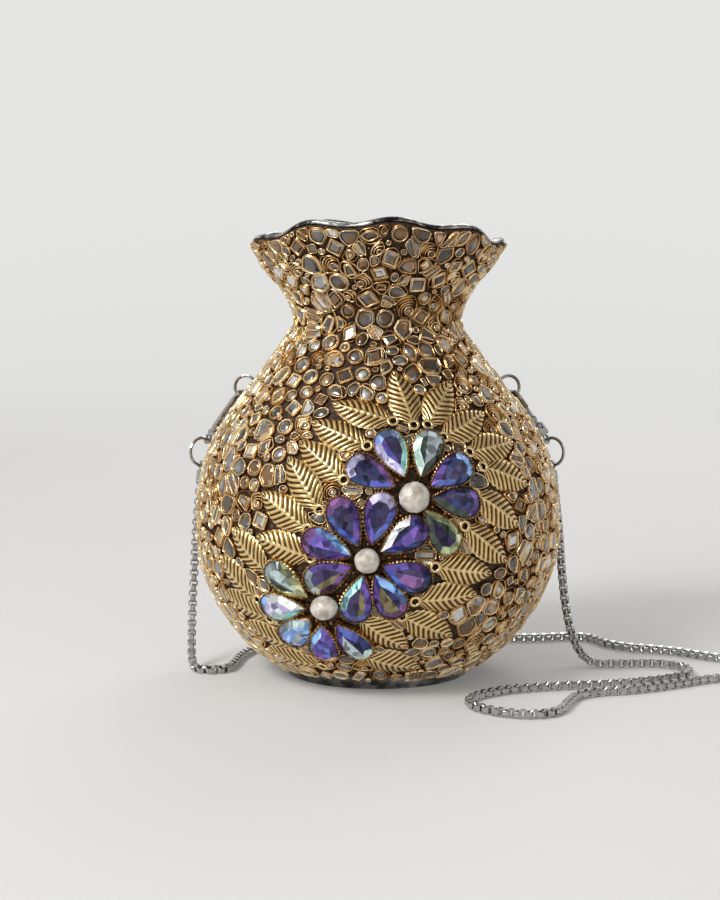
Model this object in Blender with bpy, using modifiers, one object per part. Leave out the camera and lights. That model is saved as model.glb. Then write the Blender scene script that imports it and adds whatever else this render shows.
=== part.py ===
"""A potli bag: a round metal pot with a narrow neck and a flared, wavy mouth, covered in
glued jewels, three glass flowers and metal leaves, and carried on a chain that is clipped to an ear
on each side.

The origin is the centre of the base, +Z is up and -Y is the side with the flowers. A place on the
wall is given by its azimuth about the pot's axis, its height, and its lift off the wall, which is
measured along the wall's normal from the tips of the jewels.
"""

import math
import random

import bmesh
import bpy
from mathutils import Matrix, Vector

# The wall, measured over the tips of the jewels
BASE_RADIUS = 0.0330
BELLY_RADIUS = 0.0660
BELLY_HEIGHT = 0.0520
BELLY_ROUNDNESS = 1.9
NECK_RADIUS = 0.0302
NECK_HEIGHT = 0.1275
MOUTH_RADIUS = 0.0462
MOUTH_HEIGHT = 0.1610
# How the radius falls from the belly to the neck, and grows from the neck to the mouth:
# each pair is a share of the height and the share of the radius that is reached there
SHOULDER_CURVE = ((0, 1), (0.331, 0.908), (0.53, 0.70), (0.73, 0.385), (0.90, 0.117), (1, 0))
FLARE_CURVE = ((0, 0), (0.214, 0.116), (0.414, 0.335), (0.643, 0.659), (1, 1))

# The wave of the mouth: lobes around the edge, and the dip at the two sides
MOUTH_LOBES = 9
LOBE_CREST = math.radians(77)
LOBE_RISE = 0.0010
LOBE_OUT = 0.0009
SIDE_DIP = 0.0070

# The layers of the wall, from outside to inside
CLEARANCE = 0.0003
JEWEL_DEPTH = 0.0015
COAT_BACKING = 0.0011
SHELL_THICKNESS = 0.0012
LINING_THICKNESS = 0.0008
RIM_SHOWN = 0.0015
COAT_FOOT = 0.0040
WALL_SEGMENTS = 36
BELLY_ROWS = 5
SHOULDER_ROWS = 7
FLARE_ROWS = 4
ROUNDED_SHARE = 0.55

# The jewels: rows for each row of the layers behind, the width above which a cell holds two of them,
# where it is split, and how far its corners wander
JEWEL_ROWS = 1.5
JEWEL_WIDTH = 0.0080
JEWEL_SPLIT = (0.4, 0.6)
JEWEL_WANDER = 0.0009
STUD_BORDER = 0.0007
STUD_SHARE = 0.6
STUD_HEIGHT = 0.8 * JEWEL_DEPTH
# The coat is flat this far around a flower, a leaf or a pearl
BARE_MARGIN = 0.0030

# Flowers: azimuth, height, pearl radius, distance of the petals, and the turn of each petal
PETAL_LENGTH = 0.0165
PETAL_WIDTH = 0.0094
PETAL_GIRDLE = 0.0010
PETAL_CROWN = 0.0017
PETAL_TABLE = 0.55
PETAL_SIDES = 12
# A drop tapers towards its point, so its outline is drawn this much of its width to each side
PETAL_FULLNESS = 0.66
# Round spots that cover a drop, as shares of its half length and of its half width
PETAL_SPOTS = ((-0.7, 0.3), (-0.1, 0.8), (0.45, 1.0))
PEARL_RINGS = 7
FLOWERS = {
    "upper": (-79.9, 0.0726, 0.00575, 0.0152, (152, 111, 68, 27, -10, -53)),
    "middle": (-93.5, 0.0514, 0.00465, 0.0141, (119, 75, 31, -22, -62, -103, -156, 163)),
    "lower": (-107.0, 0.0340, 0.0053, 0.0158, (146, 184, 222, 260, 298)),
}

# Leaves: azimuth, height and the direction that the tip points in
LEAF_LENGTH = 0.0205
LEAF_WIDTH = 0.0086
LEAF_THICKNESS = 0.0007
LEAF_CREASE = 0.0007
LEAF_COLUMNS = 5
LEAF_ROWS = 2
LEAF_SPOTS = ((-0.8, 0.35), (-0.3, 0.95), (0.3, 0.9), (0.8, 0.4))
# The outline is the part of a half sine wave that starts at this share and spans this much
LEAF_START = 0.06
LEAF_SPAN = 0.90
LEAF_FULLNESS = 0.8
LEAVES = (
    (-97.0, 0.0990, 163),
    (-104.7, 0.0922, 158),
    (-109.4, 0.0839, 144),
    (-114.2, 0.0764, 128),
    (-120.0, 0.0667, 150),
    (-120.0, 0.0545, 165),
    (-133.0, 0.0520, 141),
    (-139.5, 0.0415, 141),
    (-79.9, 0.1040, 102),
    (-63.9, 0.1020, 50),
    (-56.0, 0.0945, 22),
    (-47.5, 0.0865, 5),
    (-45.0, 0.0765, -22),
    (-51.0, 0.0655, -35),
    (-56.0, 0.0545, -38),
    (-63.5, 0.0465, -10),
    (-68.5, 0.0375, 4),
    (-73.0, 0.0265, -27),
    (-87.8, 0.0240, -39),
    (-84.0, 0.0125, -20),
)

# Each clasp reaches from an ear down to the eye of a ring, so the ear is a clasp's rise above it
RING_EYE_HEIGHT = 0.0808
RING_EYE_LIFT = 0.0043
CLASP_RISE = 0.0202
EAR_HEIGHT = RING_EYE_HEIGHT + CLASP_RISE

# Ears, which are bows of wire on the wall, a little behind the two sides
EAR_BEHIND = math.radians(16)
EAR_RADIUS = 0.0043
EAR_WIRE = 0.00065
EAR_STAND = 0.0018
EAR_PAD = 0.0085
HOOKED_AT = math.radians(-85)

# Rings that join the clasps to the chain
RING_RADIUS = 0.0051
RING_WIRE = 0.00065
RING_YAW = math.radians(-54)
RING_HELD_AT = math.radians(60)

# Swivel eye at the lower end of each clasp
EYE_RADIUS = 0.0017
EYE_WIRE = 0.00055
STEM_RADIUS = 0.0005
STEM_HEAD_RADIUS = 0.0011
STEM_HEAD = 0.0005

# Clasp: a bent hook on a plate, and a trigger that closes it
HOOK_WIRE = 0.0010
HOOK_HALF_WIDTH = 0.0031
# The hook's back, from the plate up: shares of the half width, and heights
HOOK_BACK = ((0, 0), (-0.55, 0.0011), (-0.9, 0.0028), (-1, 0.0050))
HOOK_GAPE = 0.62
HOOK_STEPS = 8
PLATE_THICKNESS = 0.0016
PLATE_WIDTH = 0.0048
PLATE_DEPTH = 0.0024
PLATE_ROUNDING = 0.0002
LUG_WIDTH = 0.0028
LUG_DEPTH = 0.0032
LUG_HEIGHT = 0.0048
LUG_ROUNDING = 0.0003
LUG_OUT = 0.0026
PIVOT_UP = 0.0034
PIVOT_PIN = 0.00045
PIN_SUNK = 0.0002
TRIGGER_BARREL = 0.0013
TRIGGER_DEPTH = 0.0010
TRIGGER_WIDTH = 0.0012
TRIGGER_ROUNDING = 0.0002
BAR_FOOT = 0.8 * TRIGGER_BARREL
THUMB_RADIUS = 0.0008
THUMB_DEPTH = 0.9 * TRIGGER_DEPTH
THUMB_OUT = 0.0011
THUMB_AT = 0.35

# Chain, as a plain tube of its outer size, and the fittings at its ends
CHAIN_RADIUS = 0.00165
BAIL_RADIUS = 0.0016
BAIL_WIRE = 0.0005
BARREL_LENGTH = 0.0037
BARREL_RADIUS = 0.0017
END_LEAN = 0.0018
END_DROP = 0.0130
CHAIN_LIES = 0.0017
# The chain's two free stretches, from its ends at the rings to the coil
LEFT_ROUTE = (
    (-0.0672, 0.0156, 0.0500), (-0.0678, 0.0140, 0.0360), (-0.0683, 0.0100, 0.0220),
    (-0.0682, 0.0035, 0.0105), (-0.0676, -0.0025, 0.0040), (-0.0655, -0.0075, CHAIN_LIES),
    (-0.0600, -0.0101, CHAIN_LIES), (-0.0545, -0.0070, CHAIN_LIES), (-0.0525, 0.0010, CHAIN_LIES),
    (-0.0515, 0.0095, CHAIN_LIES), (-0.0495, 0.0180, CHAIN_LIES),
    (-0.0455, 0.0270, CHAIN_LIES), (-0.0380, 0.0360, CHAIN_LIES),
    (-0.0270, 0.0440, CHAIN_LIES), (-0.0120, 0.0495, CHAIN_LIES), (0.0040, 0.0515, CHAIN_LIES),
    (0.0200, 0.0510, CHAIN_LIES), (0.0360, 0.0480, CHAIN_LIES), (0.0500, 0.0455, CHAIN_LIES),
    (0.0640, 0.0460, CHAIN_LIES), (0.0740, 0.0478, CHAIN_LIES), (0.0810, 0.0468, CHAIN_LIES),
    (0.0855, 0.0410, CHAIN_LIES), (0.0890, 0.0340, CHAIN_LIES), (0.0955, 0.0285, CHAIN_LIES),
    (0.1045, 0.0248, CHAIN_LIES), (0.1130, 0.0203, CHAIN_LIES), (0.1205, 0.0140, CHAIN_LIES),
    (0.1280, 0.0090, CHAIN_LIES), (0.1340, 0.0080, CHAIN_LIES), (0.1400, 0.0104, CHAIN_LIES),
    (0.1455, 0.0136, CHAIN_LIES), (0.1520, 0.0155, CHAIN_LIES),
)
RIGHT_ROUTE = (
    (0.0676, 0.0160, 0.0500), (0.0686, 0.0148, 0.0360), (0.0700, 0.0125, 0.0220),
    (0.0722, 0.0092, 0.0110), (0.0755, 0.0050, 0.0043), (0.0800, 0.0018, CHAIN_LIES),
    (0.0870, 0.0006, CHAIN_LIES), (0.0950, 0.0009, CHAIN_LIES), (0.1030, 0.0006, CHAIN_LIES),
    (0.1095, -0.0032, CHAIN_LIES), (0.1124, -0.0100, CHAIN_LIES), (0.1105, -0.0175, CHAIN_LIES),
    (0.1035, -0.0230, CHAIN_LIES), (0.0940, -0.0278, CHAIN_LIES), (0.0820, -0.0312, CHAIN_LIES),
    (0.0690, -0.0335, CHAIN_LIES), (0.0570, -0.0362, CHAIN_LIES), (0.0460, -0.0402, CHAIN_LIES),
    (0.0365, -0.0467, CHAIN_LIES), (0.0310, -0.0545, CHAIN_LIES), (0.0316, -0.0630, CHAIN_LIES),
    (0.0378, -0.0705, CHAIN_LIES), (0.0465, -0.0746, CHAIN_LIES), (0.0555, -0.0736, CHAIN_LIES),
    (0.0610, -0.0670, CHAIN_LIES), (0.0640, -0.0580, CHAIN_LIES), (0.0682, -0.0490, CHAIN_LIES),
    (0.0760, -0.0438, CHAIN_LIES), (0.0860, -0.0410, CHAIN_LIES), (0.0960, -0.0368, CHAIN_LIES),
    (0.1050, -0.0318, CHAIN_LIES), (0.1140, -0.0262, CHAIN_LIES), (0.1220, -0.0228, CHAIN_LIES),
    (0.1300, -0.0235, CHAIN_LIES), (0.1380, -0.0272, CHAIN_LIES), (0.1465, -0.0307, CHAIN_LIES),
    (0.1560, -0.0320, CHAIN_LIES),
)
COIL_CENTRE = (0.156, -0.008)
COIL_RADIUS = 0.018
COIL_PITCH = 0.0034
COIL_TURNS_WIDE = 2
COIL_TURNS_HIGH = 2
COIL_SEGMENTS = 32

CORD_SIDES = 2
WIRE_SIDES = 1
ROUND_SEGMENTS = 12
BOW_STEPS = 9
RING_SEGMENTS = 20
RANDOM_SEED = 11
SMALL = 0.00001

# Colour, roughness and metallic value of each finish
FINISHES = {
    "nickel": ((0.70, 0.70, 0.69), 0.18, 1.0),
    "antique_gold": ((0.66, 0.45, 0.20), 0.35, 1.0),
    "leaf_gold": ((0.74, 0.60, 0.34), 0.30, 1.0),
    "violet_glass": ((0.28, 0.26, 0.75), 0.05, 0.2),
    "pearl": ((0.86, 0.82, 0.76), 0.25, 0.0),
    "black_lining": ((0.012, 0.012, 0.013), 0.9, 0.0),
}


def finish(name, color, roughness, metallic):
    """A Principled material."""
    material = bpy.data.materials.new(name)
    material.use_nodes = True
    shader = material.node_tree.nodes["Principled BSDF"]
    shader.inputs["Base Color"].default_value = (*color, 1)
    shader.inputs["Roughness"].default_value = roughness
    shader.inputs["Metallic"].default_value = metallic
    return material


def mesh_object(name, mesh, material, collection):
    """An object around a mesh, with its finish, in its collection."""
    thing = bpy.data.objects.new(name, mesh)
    mesh.materials.clear()
    mesh.materials.append(material)
    collection.objects.link(thing)
    return thing


def mesh_from(bm, name):
    """The mesh of a bmesh that is done with."""
    bmesh.ops.recalc_face_normals(bm, faces=bm.faces)
    mesh = bpy.data.meshes.new(name)
    bm.to_mesh(mesh)
    bm.free()
    return mesh


def evaluated_mesh(thing):
    """The mesh of an object with its modifiers, after which the object is removed."""
    scene_state = bpy.context.evaluated_depsgraph_get()
    mesh = bpy.data.meshes.new_from_object(thing.evaluated_get(scene_state))
    mesh.transform(thing.matrix_world)
    bpy.data.objects.remove(thing)
    return mesh


def curve_value(points, share, end_slope):
    """The value at a share of the way along a smooth curve through the points."""
    slopes = [0.0]
    for before, after in zip(points, points[2:]):
        slopes.append((after[1] - before[1]) / (after[0] - before[0]))
    slopes.append(end_slope)
    index = max(i for i in range(len(points) - 1) if points[i][0] <= max(share, 0))
    (x0, y0), (x1, y1) = points[index], points[index + 1]
    width = x1 - x0
    t = (share - x0) / width
    value = (2 * t**3 - 3 * t**2 + 1) * y0 + (3 * t**2 - 2 * t**3) * y1
    value += (t**3 - 2 * t**2 + t) * width * slopes[index]
    return value + (t**3 - t**2) * width * slopes[index + 1]


def wall_radius(height):
    """The wall's radius over the jewels, at a height."""
    if height <= BELLY_HEIGHT:
        fullness = (1 - (BASE_RADIUS / BELLY_RADIUS) ** BELLY_ROUNDNESS) ** (1 / BELLY_ROUNDNESS)
        drop = (BELLY_HEIGHT - height) / BELLY_HEIGHT * fullness
        return BELLY_RADIUS * (1 - min(drop, 1) ** BELLY_ROUNDNESS) ** (1 / BELLY_ROUNDNESS)
    if height <= NECK_HEIGHT:
        share = (height - BELLY_HEIGHT) / (NECK_HEIGHT - BELLY_HEIGHT)
        return NECK_RADIUS + (BELLY_RADIUS - NECK_RADIUS) * curve_value(SHOULDER_CURVE, share, 0)
    share = (height - NECK_HEIGHT) / (MOUTH_HEIGHT - NECK_HEIGHT)
    return NECK_RADIUS + (MOUTH_RADIUS - NECK_RADIUS) * curve_value(FLARE_CURVE, share, 1)


def wall_slope(height):
    """How fast the wall's radius grows with height."""
    return (wall_radius(height + SMALL) - wall_radius(height - SMALL)) / (2 * SMALL)


def wall_section(height, lift):
    """Radius and height of the point that stands off the wall's section by lift."""
    slope = wall_slope(height)
    length = math.hypot(1, slope)
    return wall_radius(height) + lift / length, height - lift * slope / length


def wall_point(azimuth, height, lift):
    radius, level = wall_section(height, lift)
    return Vector((radius * math.cos(azimuth), radius * math.sin(azimuth), level))


def wall_frame(azimuth, height, lift):
    """X runs around the pot, Y up along the wall and Z out of it."""
    around = Vector((-math.sin(azimuth), math.cos(azimuth), 0))
    outward = Vector((math.cos(azimuth), math.sin(azimuth), -wall_slope(height))).normalized()
    return frame_at(wall_point(azimuth, height, lift), around, outward.cross(around), outward)


def frame_at(origin, x_axis, y_axis, z_axis):
    """The placement with this origin and these axes."""
    placement = Matrix((x_axis, y_axis, z_axis)).transposed().to_4x4()
    placement.translation = origin
    return placement


def wall_levels(foot, top, fineness=1):
    """Heights of the rows of a layer, from its foot to its top."""
    belly_rows = round(BELLY_ROWS * fineness)
    shoulder_rows = round(SHOULDER_ROWS * fineness)
    flare_rows = round(FLARE_ROWS * fineness)
    levels = []
    for i in range(belly_rows):
        levels.append(BELLY_HEIGHT - (BELLY_HEIGHT - foot) * math.cos(math.pi / 2 * i / belly_rows))
    shoulder = NECK_HEIGHT - BELLY_HEIGHT
    levels += [BELLY_HEIGHT + shoulder * i / shoulder_rows for i in range(shoulder_rows)]
    flare = top - NECK_HEIGHT
    levels += [NECK_HEIGHT + flare * i / flare_rows for i in range(flare_rows + 1)]
    return levels


def layer_line(levels, lift):
    """Points of a layer's section, each with the wall level that it belongs to."""
    return [(*wall_section(level, lift), level) for level in levels]


def turned(name, profile, closed, segments=WALL_SEGMENTS):
    """The mesh that a profile makes when it is turned about the Z axis."""
    bm = bmesh.new()
    points = [bm.verts.new((point[0], 0, point[1])) for point in profile]
    pairs = list(zip(points, points[1:]))
    if closed:
        pairs.append((points[-1], points[0]))
    for pair in pairs:
        bm.edges.new(pair)
    mesh = bpy.data.meshes.new(name)
    bm.to_mesh(mesh)
    bm.free()
    thing = bpy.data.objects.new(name, mesh)
    bpy.context.scene.collection.objects.link(thing)
    screw = thing.modifiers.new("turn", "SCREW")
    screw.steps = segments
    screw.render_steps = segments
    screw.use_merge_vertices = True
    screw.merge_threshold = SMALL
    return evaluated_mesh(thing)


def shape_mouth(mesh, profile):
    """Moves the points above the neck into the wavy mouth, which dips at the two sides."""
    for vertex in mesh.vertices:
        radius = math.hypot(vertex.co.x, vertex.co.y)
        level = min(profile, key=lambda p: (p[0] - radius) ** 2 + (p[1] - vertex.co.z) ** 2)[2]
        share = (level - NECK_HEIGHT) / (MOUTH_HEIGHT - NECK_HEIGHT)
        if share <= 0:
            continue
        azimuth = math.atan2(vertex.co.y, vertex.co.x)
        lobe = math.cos(MOUTH_LOBES * (azimuth - LOBE_CREST))
        dip = SIDE_DIP * abs(math.cos(azimuth)) ** 3
        vertex.co.z += share**1.5 * (LOBE_RISE * lobe - dip)
        stretch = 1 + share**2 * LOBE_OUT * lobe / MOUTH_RADIUS
        vertex.co.x *= stretch
        vertex.co.y *= stretch


COAT_GROUND = -JEWEL_DEPTH
COAT_BACK = COAT_GROUND - COAT_BACKING
SHELL_OUTSIDE = COAT_BACK - CLEARANCE
SHELL_INSIDE = SHELL_OUTSIDE - SHELL_THICKNESS
LINING_OUTSIDE = SHELL_INSIDE - CLEARANCE
LINING_INSIDE = LINING_OUTSIDE - LINING_THICKNESS
COAT_TOP = MOUTH_HEIGHT - RIM_SHOWN


def make_shell(material, collection):
    """The pot itself: a sheet-metal wall on a flat base, with a bare edge around the mouth."""
    levels = wall_levels(COAT_FOOT, COAT_TOP) + [MOUTH_HEIGHT]
    floor = [(0, SHELL_THICKNESS, 0), (BASE_RADIUS - SHELL_THICKNESS / 2, SHELL_THICKNESS, 0)]
    walls = layer_line(levels, SHELL_INSIDE) + layer_line(reversed(levels), SHELL_OUTSIDE)
    profile = floor + walls + [(BASE_RADIUS, 0, 0), (0, 0, 0)]
    mesh = turned("pot_shell", profile, closed=False)
    shape_mouth(mesh, profile)
    return mesh_object("pot_shell", mesh, material, collection)


def make_lining(material, collection):
    """The black lining that is glued inside the pot, with fewer rows where the pot is round."""
    every_level = wall_levels(COAT_FOOT, COAT_TOP)
    turn = BELLY_HEIGHT + ROUNDED_SHARE * (NECK_HEIGHT - BELLY_HEIGHT)
    levels = [level for level in every_level if level < turn][::2]
    levels += [level for level in every_level if level >= turn]
    under = SHELL_THICKNESS + CLEARANCE
    corner = BASE_RADIUS - SHELL_THICKNESS - 2 * LINING_THICKNESS
    over = under + LINING_THICKNESS
    floor = [(0, over, 0), (corner - LINING_THICKNESS, over, 0)]
    walls = layer_line(levels, LINING_INSIDE) + layer_line(reversed(levels), LINING_OUTSIDE)
    profile = floor + walls + [(corner, under, 0), (0, under, 0)]
    mesh = turned("lining", profile, closed=False)
    shape_mouth(mesh, profile)
    return mesh_object("lining", mesh, material, collection)


def along_wall(azimuth, height, other_azimuth, other_height):
    """The distance over the wall between two places near each other."""
    turn = math.remainder(other_azimuth - azimuth, math.tau)
    rise = (other_height - height) * math.hypot(1, wall_slope((height + other_height) / 2))
    return math.hypot(turn * wall_radius(height), rise)


def moved_along(azimuth, height, turn, reach):
    """The place on the wall that lies this far from another, the way of the turn."""
    level = height + reach * math.sin(turn) / math.hypot(1, wall_slope(height))
    return azimuth + reach * math.cos(turn) / wall_radius(level), level


def bare_places():
    """Where the coat is flat, because a flower, a leaf or an ear is set there."""
    places = [(ear_azimuth(side), EAR_HEIGHT, EAR_PAD) for side in (1, -1)]

    def cover(azimuth, height, turn, half_length, half_width, spots):
        for along, across in spots:
            spot = moved_along(azimuth, height, turn, along * half_length)
            places.append((*spot, across * half_width + BARE_MARGIN))

    for azimuth, height, pearl_radius, distance, turns in FLOWERS.values():
        middle = math.radians(azimuth)
        places.append((middle, height, pearl_radius + BARE_MARGIN))
        for turn in map(math.radians, turns):
            petal = moved_along(middle, height, turn, distance)
            cover(*petal, turn, PETAL_LENGTH / 2, PETAL_WIDTH / 2, PETAL_SPOTS)
    for azimuth, height, turn in LEAVES:
        place = (math.radians(azimuth), height, math.radians(turn))
        cover(*place, LEAF_LENGTH / 2, LEAF_WIDTH / 2, LEAF_SPOTS)
    return places


def azimuth_of(vertex):
    return math.atan2(vertex.co.y, vertex.co.x)


def split_wide(bm, cells, rng):
    """Splits each cell that is wide around the pot in two; returns the cells and the new points."""
    middles = set()
    edges = {edge.index: edge for cell in cells for edge in cell.edges}
    for edge in (edges[index] for index in sorted(edges)):
        first, second = edge.verts
        turn = abs(math.remainder(azimuth_of(first) - azimuth_of(second), math.tau))
        if turn > SMALL and edge.calc_length() > JEWEL_WIDTH:
            radius = math.hypot(first.co.x, first.co.y)
            middle = bmesh.utils.edge_split(edge, first, rng.uniform(*JEWEL_SPLIT))[1]
            stretch = radius / math.hypot(middle.co.x, middle.co.y)
            middle.co.x *= stretch
            middle.co.y *= stretch
            middles.add(middle)
    split = list(cells)
    for cell in cells:
        ends = [vertex for vertex in cell.verts if vertex in middles]
        if len(ends) == 2:
            split.append(bmesh.utils.face_split(cell, *ends)[0])
    return split, middles


def make_coat(material, collection):
    """The coat of glued jewels: a thin backing whose cells rise to points and flat studs."""
    front_line = layer_line(reversed(wall_levels(COAT_FOOT, COAT_TOP, JEWEL_ROWS)), COAT_GROUND)
    profile = front_line + layer_line(wall_levels(COAT_FOOT, COAT_TOP), COAT_BACK)
    mesh = turned("mosaic_coat", profile, closed=True)
    front = set()
    for vertex in mesh.vertices:
        radius = math.hypot(vertex.co.x, vertex.co.y)
        nearest = min(profile, key=lambda p: (p[0] - radius) ** 2 + (p[1] - vertex.co.z) ** 2)
        if nearest in front_line:
            front.add(vertex.index)
    shape_mouth(mesh, profile)
    bm = bmesh.new()
    bm.from_mesh(mesh)
    bm.verts.ensure_lookup_table()
    front = {bm.verts[index] for index in front}
    cells = [face for face in bm.faces if front.issuperset(face.verts)]
    rng = random.Random(RANDOM_SEED)
    cells, middles = split_wide(bm, cells, rng)
    front |= middles
    bm.verts.index_update()
    bare = bare_places()

    def is_bare(point):
        azimuth = math.atan2(point.y, point.x)
        return any(along_wall(a, z, azimuth, point.z) < reach for a, z, reach in bare)

    bare_points = {vertex for vertex in front if is_bare(vertex.co)}
    cells = [cell for cell in cells if bare_points.isdisjoint(cell.verts)]
    cells = [cell for cell in cells if not is_bare(cell.calc_center_median())]
    corners = {vertex.index: vertex for cell in cells for vertex in cell.verts}
    for corner in (corners[index] for index in sorted(corners)):
        wander = rng.uniform(-JEWEL_WANDER, JEWEL_WANDER)
        around = Vector((-corner.co.y, corner.co.x, 0)).normalized()
        if all(front.issuperset(face.verts) for face in corner.link_faces):
            corner.co += wander * around
    studs = [cell for cell in cells if rng.random() < STUD_SHARE]
    points = [cell for cell in cells if cell not in set(studs)]
    bmesh.ops.inset_individual(bm, faces=studs, thickness=STUD_BORDER, depth=STUD_HEIGHT)
    bmesh.ops.poke(bm, faces=points, offset=JEWEL_DEPTH, center_mode="MEAN")
    return mesh_object("mosaic_coat", mesh_from(bm, "mosaic_coat"), material, collection)


def teardrop(sides, length, width):
    """Outline points of a drop whose point is at -X."""
    outline = []
    for i in range(sides):
        angle = math.tau * i / sides
        taper = math.sqrt(max(math.cos(angle / 2) ** 2, 0))
        half_width = width * PETAL_FULLNESS * taper
        outline.append((length / 2 * math.cos(angle), half_width * math.sin(angle)))
    return outline


def raised(bm, faces, rise, size):
    """Extrudes faces upwards and scales them about the Z axis; returns the new faces."""
    grown = bmesh.ops.extrude_face_region(bm, geom=faces)["geom"]
    for vertex in (item for item in grown if isinstance(item, bmesh.types.BMVert)):
        vertex.co.x *= size
        vertex.co.y *= size
        vertex.co.z += rise
    return [item for item in grown if isinstance(item, bmesh.types.BMFace)]


def petal_mesh():
    """A faceted glass drop, flat below, with a girdle, sloping facets and a table."""
    bm = bmesh.new()
    made = bmesh.ops.create_circle(bm, cap_ends=True, segments=PETAL_SIDES, radius=1)
    for vertex, (x, y) in zip(made["verts"], teardrop(PETAL_SIDES, PETAL_LENGTH, PETAL_WIDTH)):
        vertex.co = (x, y, 0)
    outline = list(bm.faces)
    girdle = raised(bm, outline, PETAL_GIRDLE, 1)
    raised(bm, girdle, PETAL_CROWN, PETAL_TABLE)
    bmesh.ops.delete(bm, geom=girdle, context="FACES_ONLY")
    return mesh_from(bm, "petal")


def leaf_mesh(name):
    """A thin pressed leaf with a crease along its middle; its tip is at +X."""
    bm = bmesh.new()
    bmesh.ops.create_grid(bm, x_segments=LEAF_COLUMNS, y_segments=LEAF_ROWS, size=0.5)
    for vertex in bm.verts:
        along = vertex.co.x + 0.5
        across = vertex.co.y * 2
        wide = math.sin(math.pi * (LEAF_START + LEAF_SPAN * along)) ** LEAF_FULLNESS
        vertex.co.x = LEAF_LENGTH * (along - 0.5)
        vertex.co.y = LEAF_WIDTH / 2 * across * wide
        vertex.co.z = LEAF_CREASE * (1 - abs(across)) * wide
    raised(bm, list(bm.faces), LEAF_THICKNESS, 1)
    return mesh_from(bm, name)


def bend_onto_wall(mesh, azimuth, height, turn, lift):
    """Wraps a flat mesh over the wall at a place, turned about the wall's normal."""
    steepness = 1 / math.hypot(1, wall_slope(height))
    for vertex in mesh.vertices:
        x, y, rise = vertex.co
        around = x * math.cos(turn) - y * math.sin(turn)
        up = x * math.sin(turn) + y * math.cos(turn)
        level = height + up * steepness
        vertex.co = wall_point(azimuth + around / wall_radius(level), level, lift + rise)


def make_flowers(glass, pearl_finish, collection):
    """Pearls with glass petals around them, set on the flat places of the coat."""
    lift = COAT_GROUND + CLEARANCE
    for name, (azimuth, height, pearl_radius, distance, turns) in FLOWERS.items():
        middle = wall_frame(math.radians(azimuth), height, lift + pearl_radius)
        bm = bmesh.new()
        bmesh.ops.create_uvsphere(
            bm, u_segments=ROUND_SEGMENTS, v_segments=PEARL_RINGS, radius=pearl_radius
        )
        pearl = mesh_object(f"pearl_{name}", mesh_from(bm, "pearl"), pearl_finish, collection)
        pearl.matrix_world = middle
        for number, turn in enumerate(turns, 1):
            angle = math.radians(turn)
            place = moved_along(math.radians(azimuth), height, angle, distance)
            petal = mesh_object(f"petal_{name}_{number}", petal_mesh(), glass, collection)
            petal.matrix_world = wall_frame(*place, lift) @ Matrix.Rotation(angle, 4, "Z")


def make_leaves(material, collection):
    """Pressed metal leaves, bent over the flat places of the coat."""
    for number, (azimuth, height, turn) in enumerate(LEAVES, 1):
        name = f"leaf_{number:02d}"
        mesh = leaf_mesh(name)
        lift = COAT_GROUND + CLEARANCE
        bend_onto_wall(mesh, math.radians(azimuth), height, math.radians(turn), lift)
        mesh_object(name, mesh, material, collection)


def round_curve(name, points, radius, closed, sides):
    """A curve of straight stretches through the points, bevelled to a round wire."""
    curve = bpy.data.curves.new(name, "CURVE")
    curve.dimensions = "3D"
    curve.bevel_depth = radius
    curve.bevel_resolution = sides
    curve.use_fill_caps = not closed
    spline = curve.splines.new("POLY")
    spline.points.add(len(points) - 1)
    for target, point in zip(spline.points, points):
        target.co = (*point, 1)
    spline.use_cyclic_u = closed
    return curve


def tube(name, points, radius, closed, sides=WIRE_SIDES):
    """The mesh of a round wire along the points."""
    curve = round_curve(name, points, radius, closed, sides)
    thing = bpy.data.objects.new(name, curve)
    bpy.context.scene.collection.objects.link(thing)
    mesh = evaluated_mesh(thing)
    bpy.data.curves.remove(curve)
    bm = bmesh.new()
    bm.from_mesh(mesh)
    bmesh.ops.remove_doubles(bm, verts=bm.verts, dist=SMALL)
    return mesh_from(bm, name)


def circle_points(centre, first, second, radius, count=ROUND_SEGMENTS):
    """Points around a circle in the plane of two unit directions."""
    points = []
    for i in range(count):
        angle = math.tau * i / count
        points.append(centre + radius * (math.cos(angle) * first + math.sin(angle) * second))
    return points


def rod(start, end, radius, segments=ROUND_SEGMENTS):
    """The mesh of a solid round rod between two points."""
    along = end - start
    bm = bmesh.new()
    bmesh.ops.create_cone(
        bm, cap_ends=True, segments=segments, radius1=radius, radius2=radius, depth=along.length
    )
    turn = along.to_track_quat("Z", "Y").to_matrix().to_4x4()
    bmesh.ops.transform(bm, matrix=Matrix.Translation((start + end) / 2) @ turn, verts=bm.verts)
    return mesh_from(bm, "rod")


def block(centre, size, rounding):
    """The mesh of a box with softened edges."""
    bm = bmesh.new()
    bmesh.ops.create_cube(bm, size=1)
    bmesh.ops.scale(bm, vec=size, verts=bm.verts)
    bmesh.ops.translate(bm, vec=centre, verts=bm.verts)
    bmesh.ops.bevel(bm, geom=bm.edges[:], offset=rounding, segments=1, affect="EDGES")
    return mesh_from(bm, "block")


def combined(name, start, steps):
    """A mesh after each step, UNION or DIFFERENCE with another mesh."""
    scene = bpy.context.scene.collection
    thing = bpy.data.objects.new(name, start)
    scene.objects.link(thing)
    for number, (operation, mesh) in enumerate(steps):
        tool = bpy.data.objects.new(f"{name}_tool_{number}", mesh)
        scene.objects.link(tool)
        change = thing.modifiers.new(f"step {number}", "BOOLEAN")
        change.operation = operation
        change.solver = "EXACT"
        change.object = tool
    made = evaluated_mesh(thing)
    for number in range(len(steps)):
        bpy.data.objects.remove(bpy.data.objects[f"{name}_tool_{number}"])
    return made


def ear_azimuth(side):
    """Where the ear of a side is: side is 1 on the right and -1 on the left."""
    return EAR_BEHIND if side > 0 else math.pi - EAR_BEHIND


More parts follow.
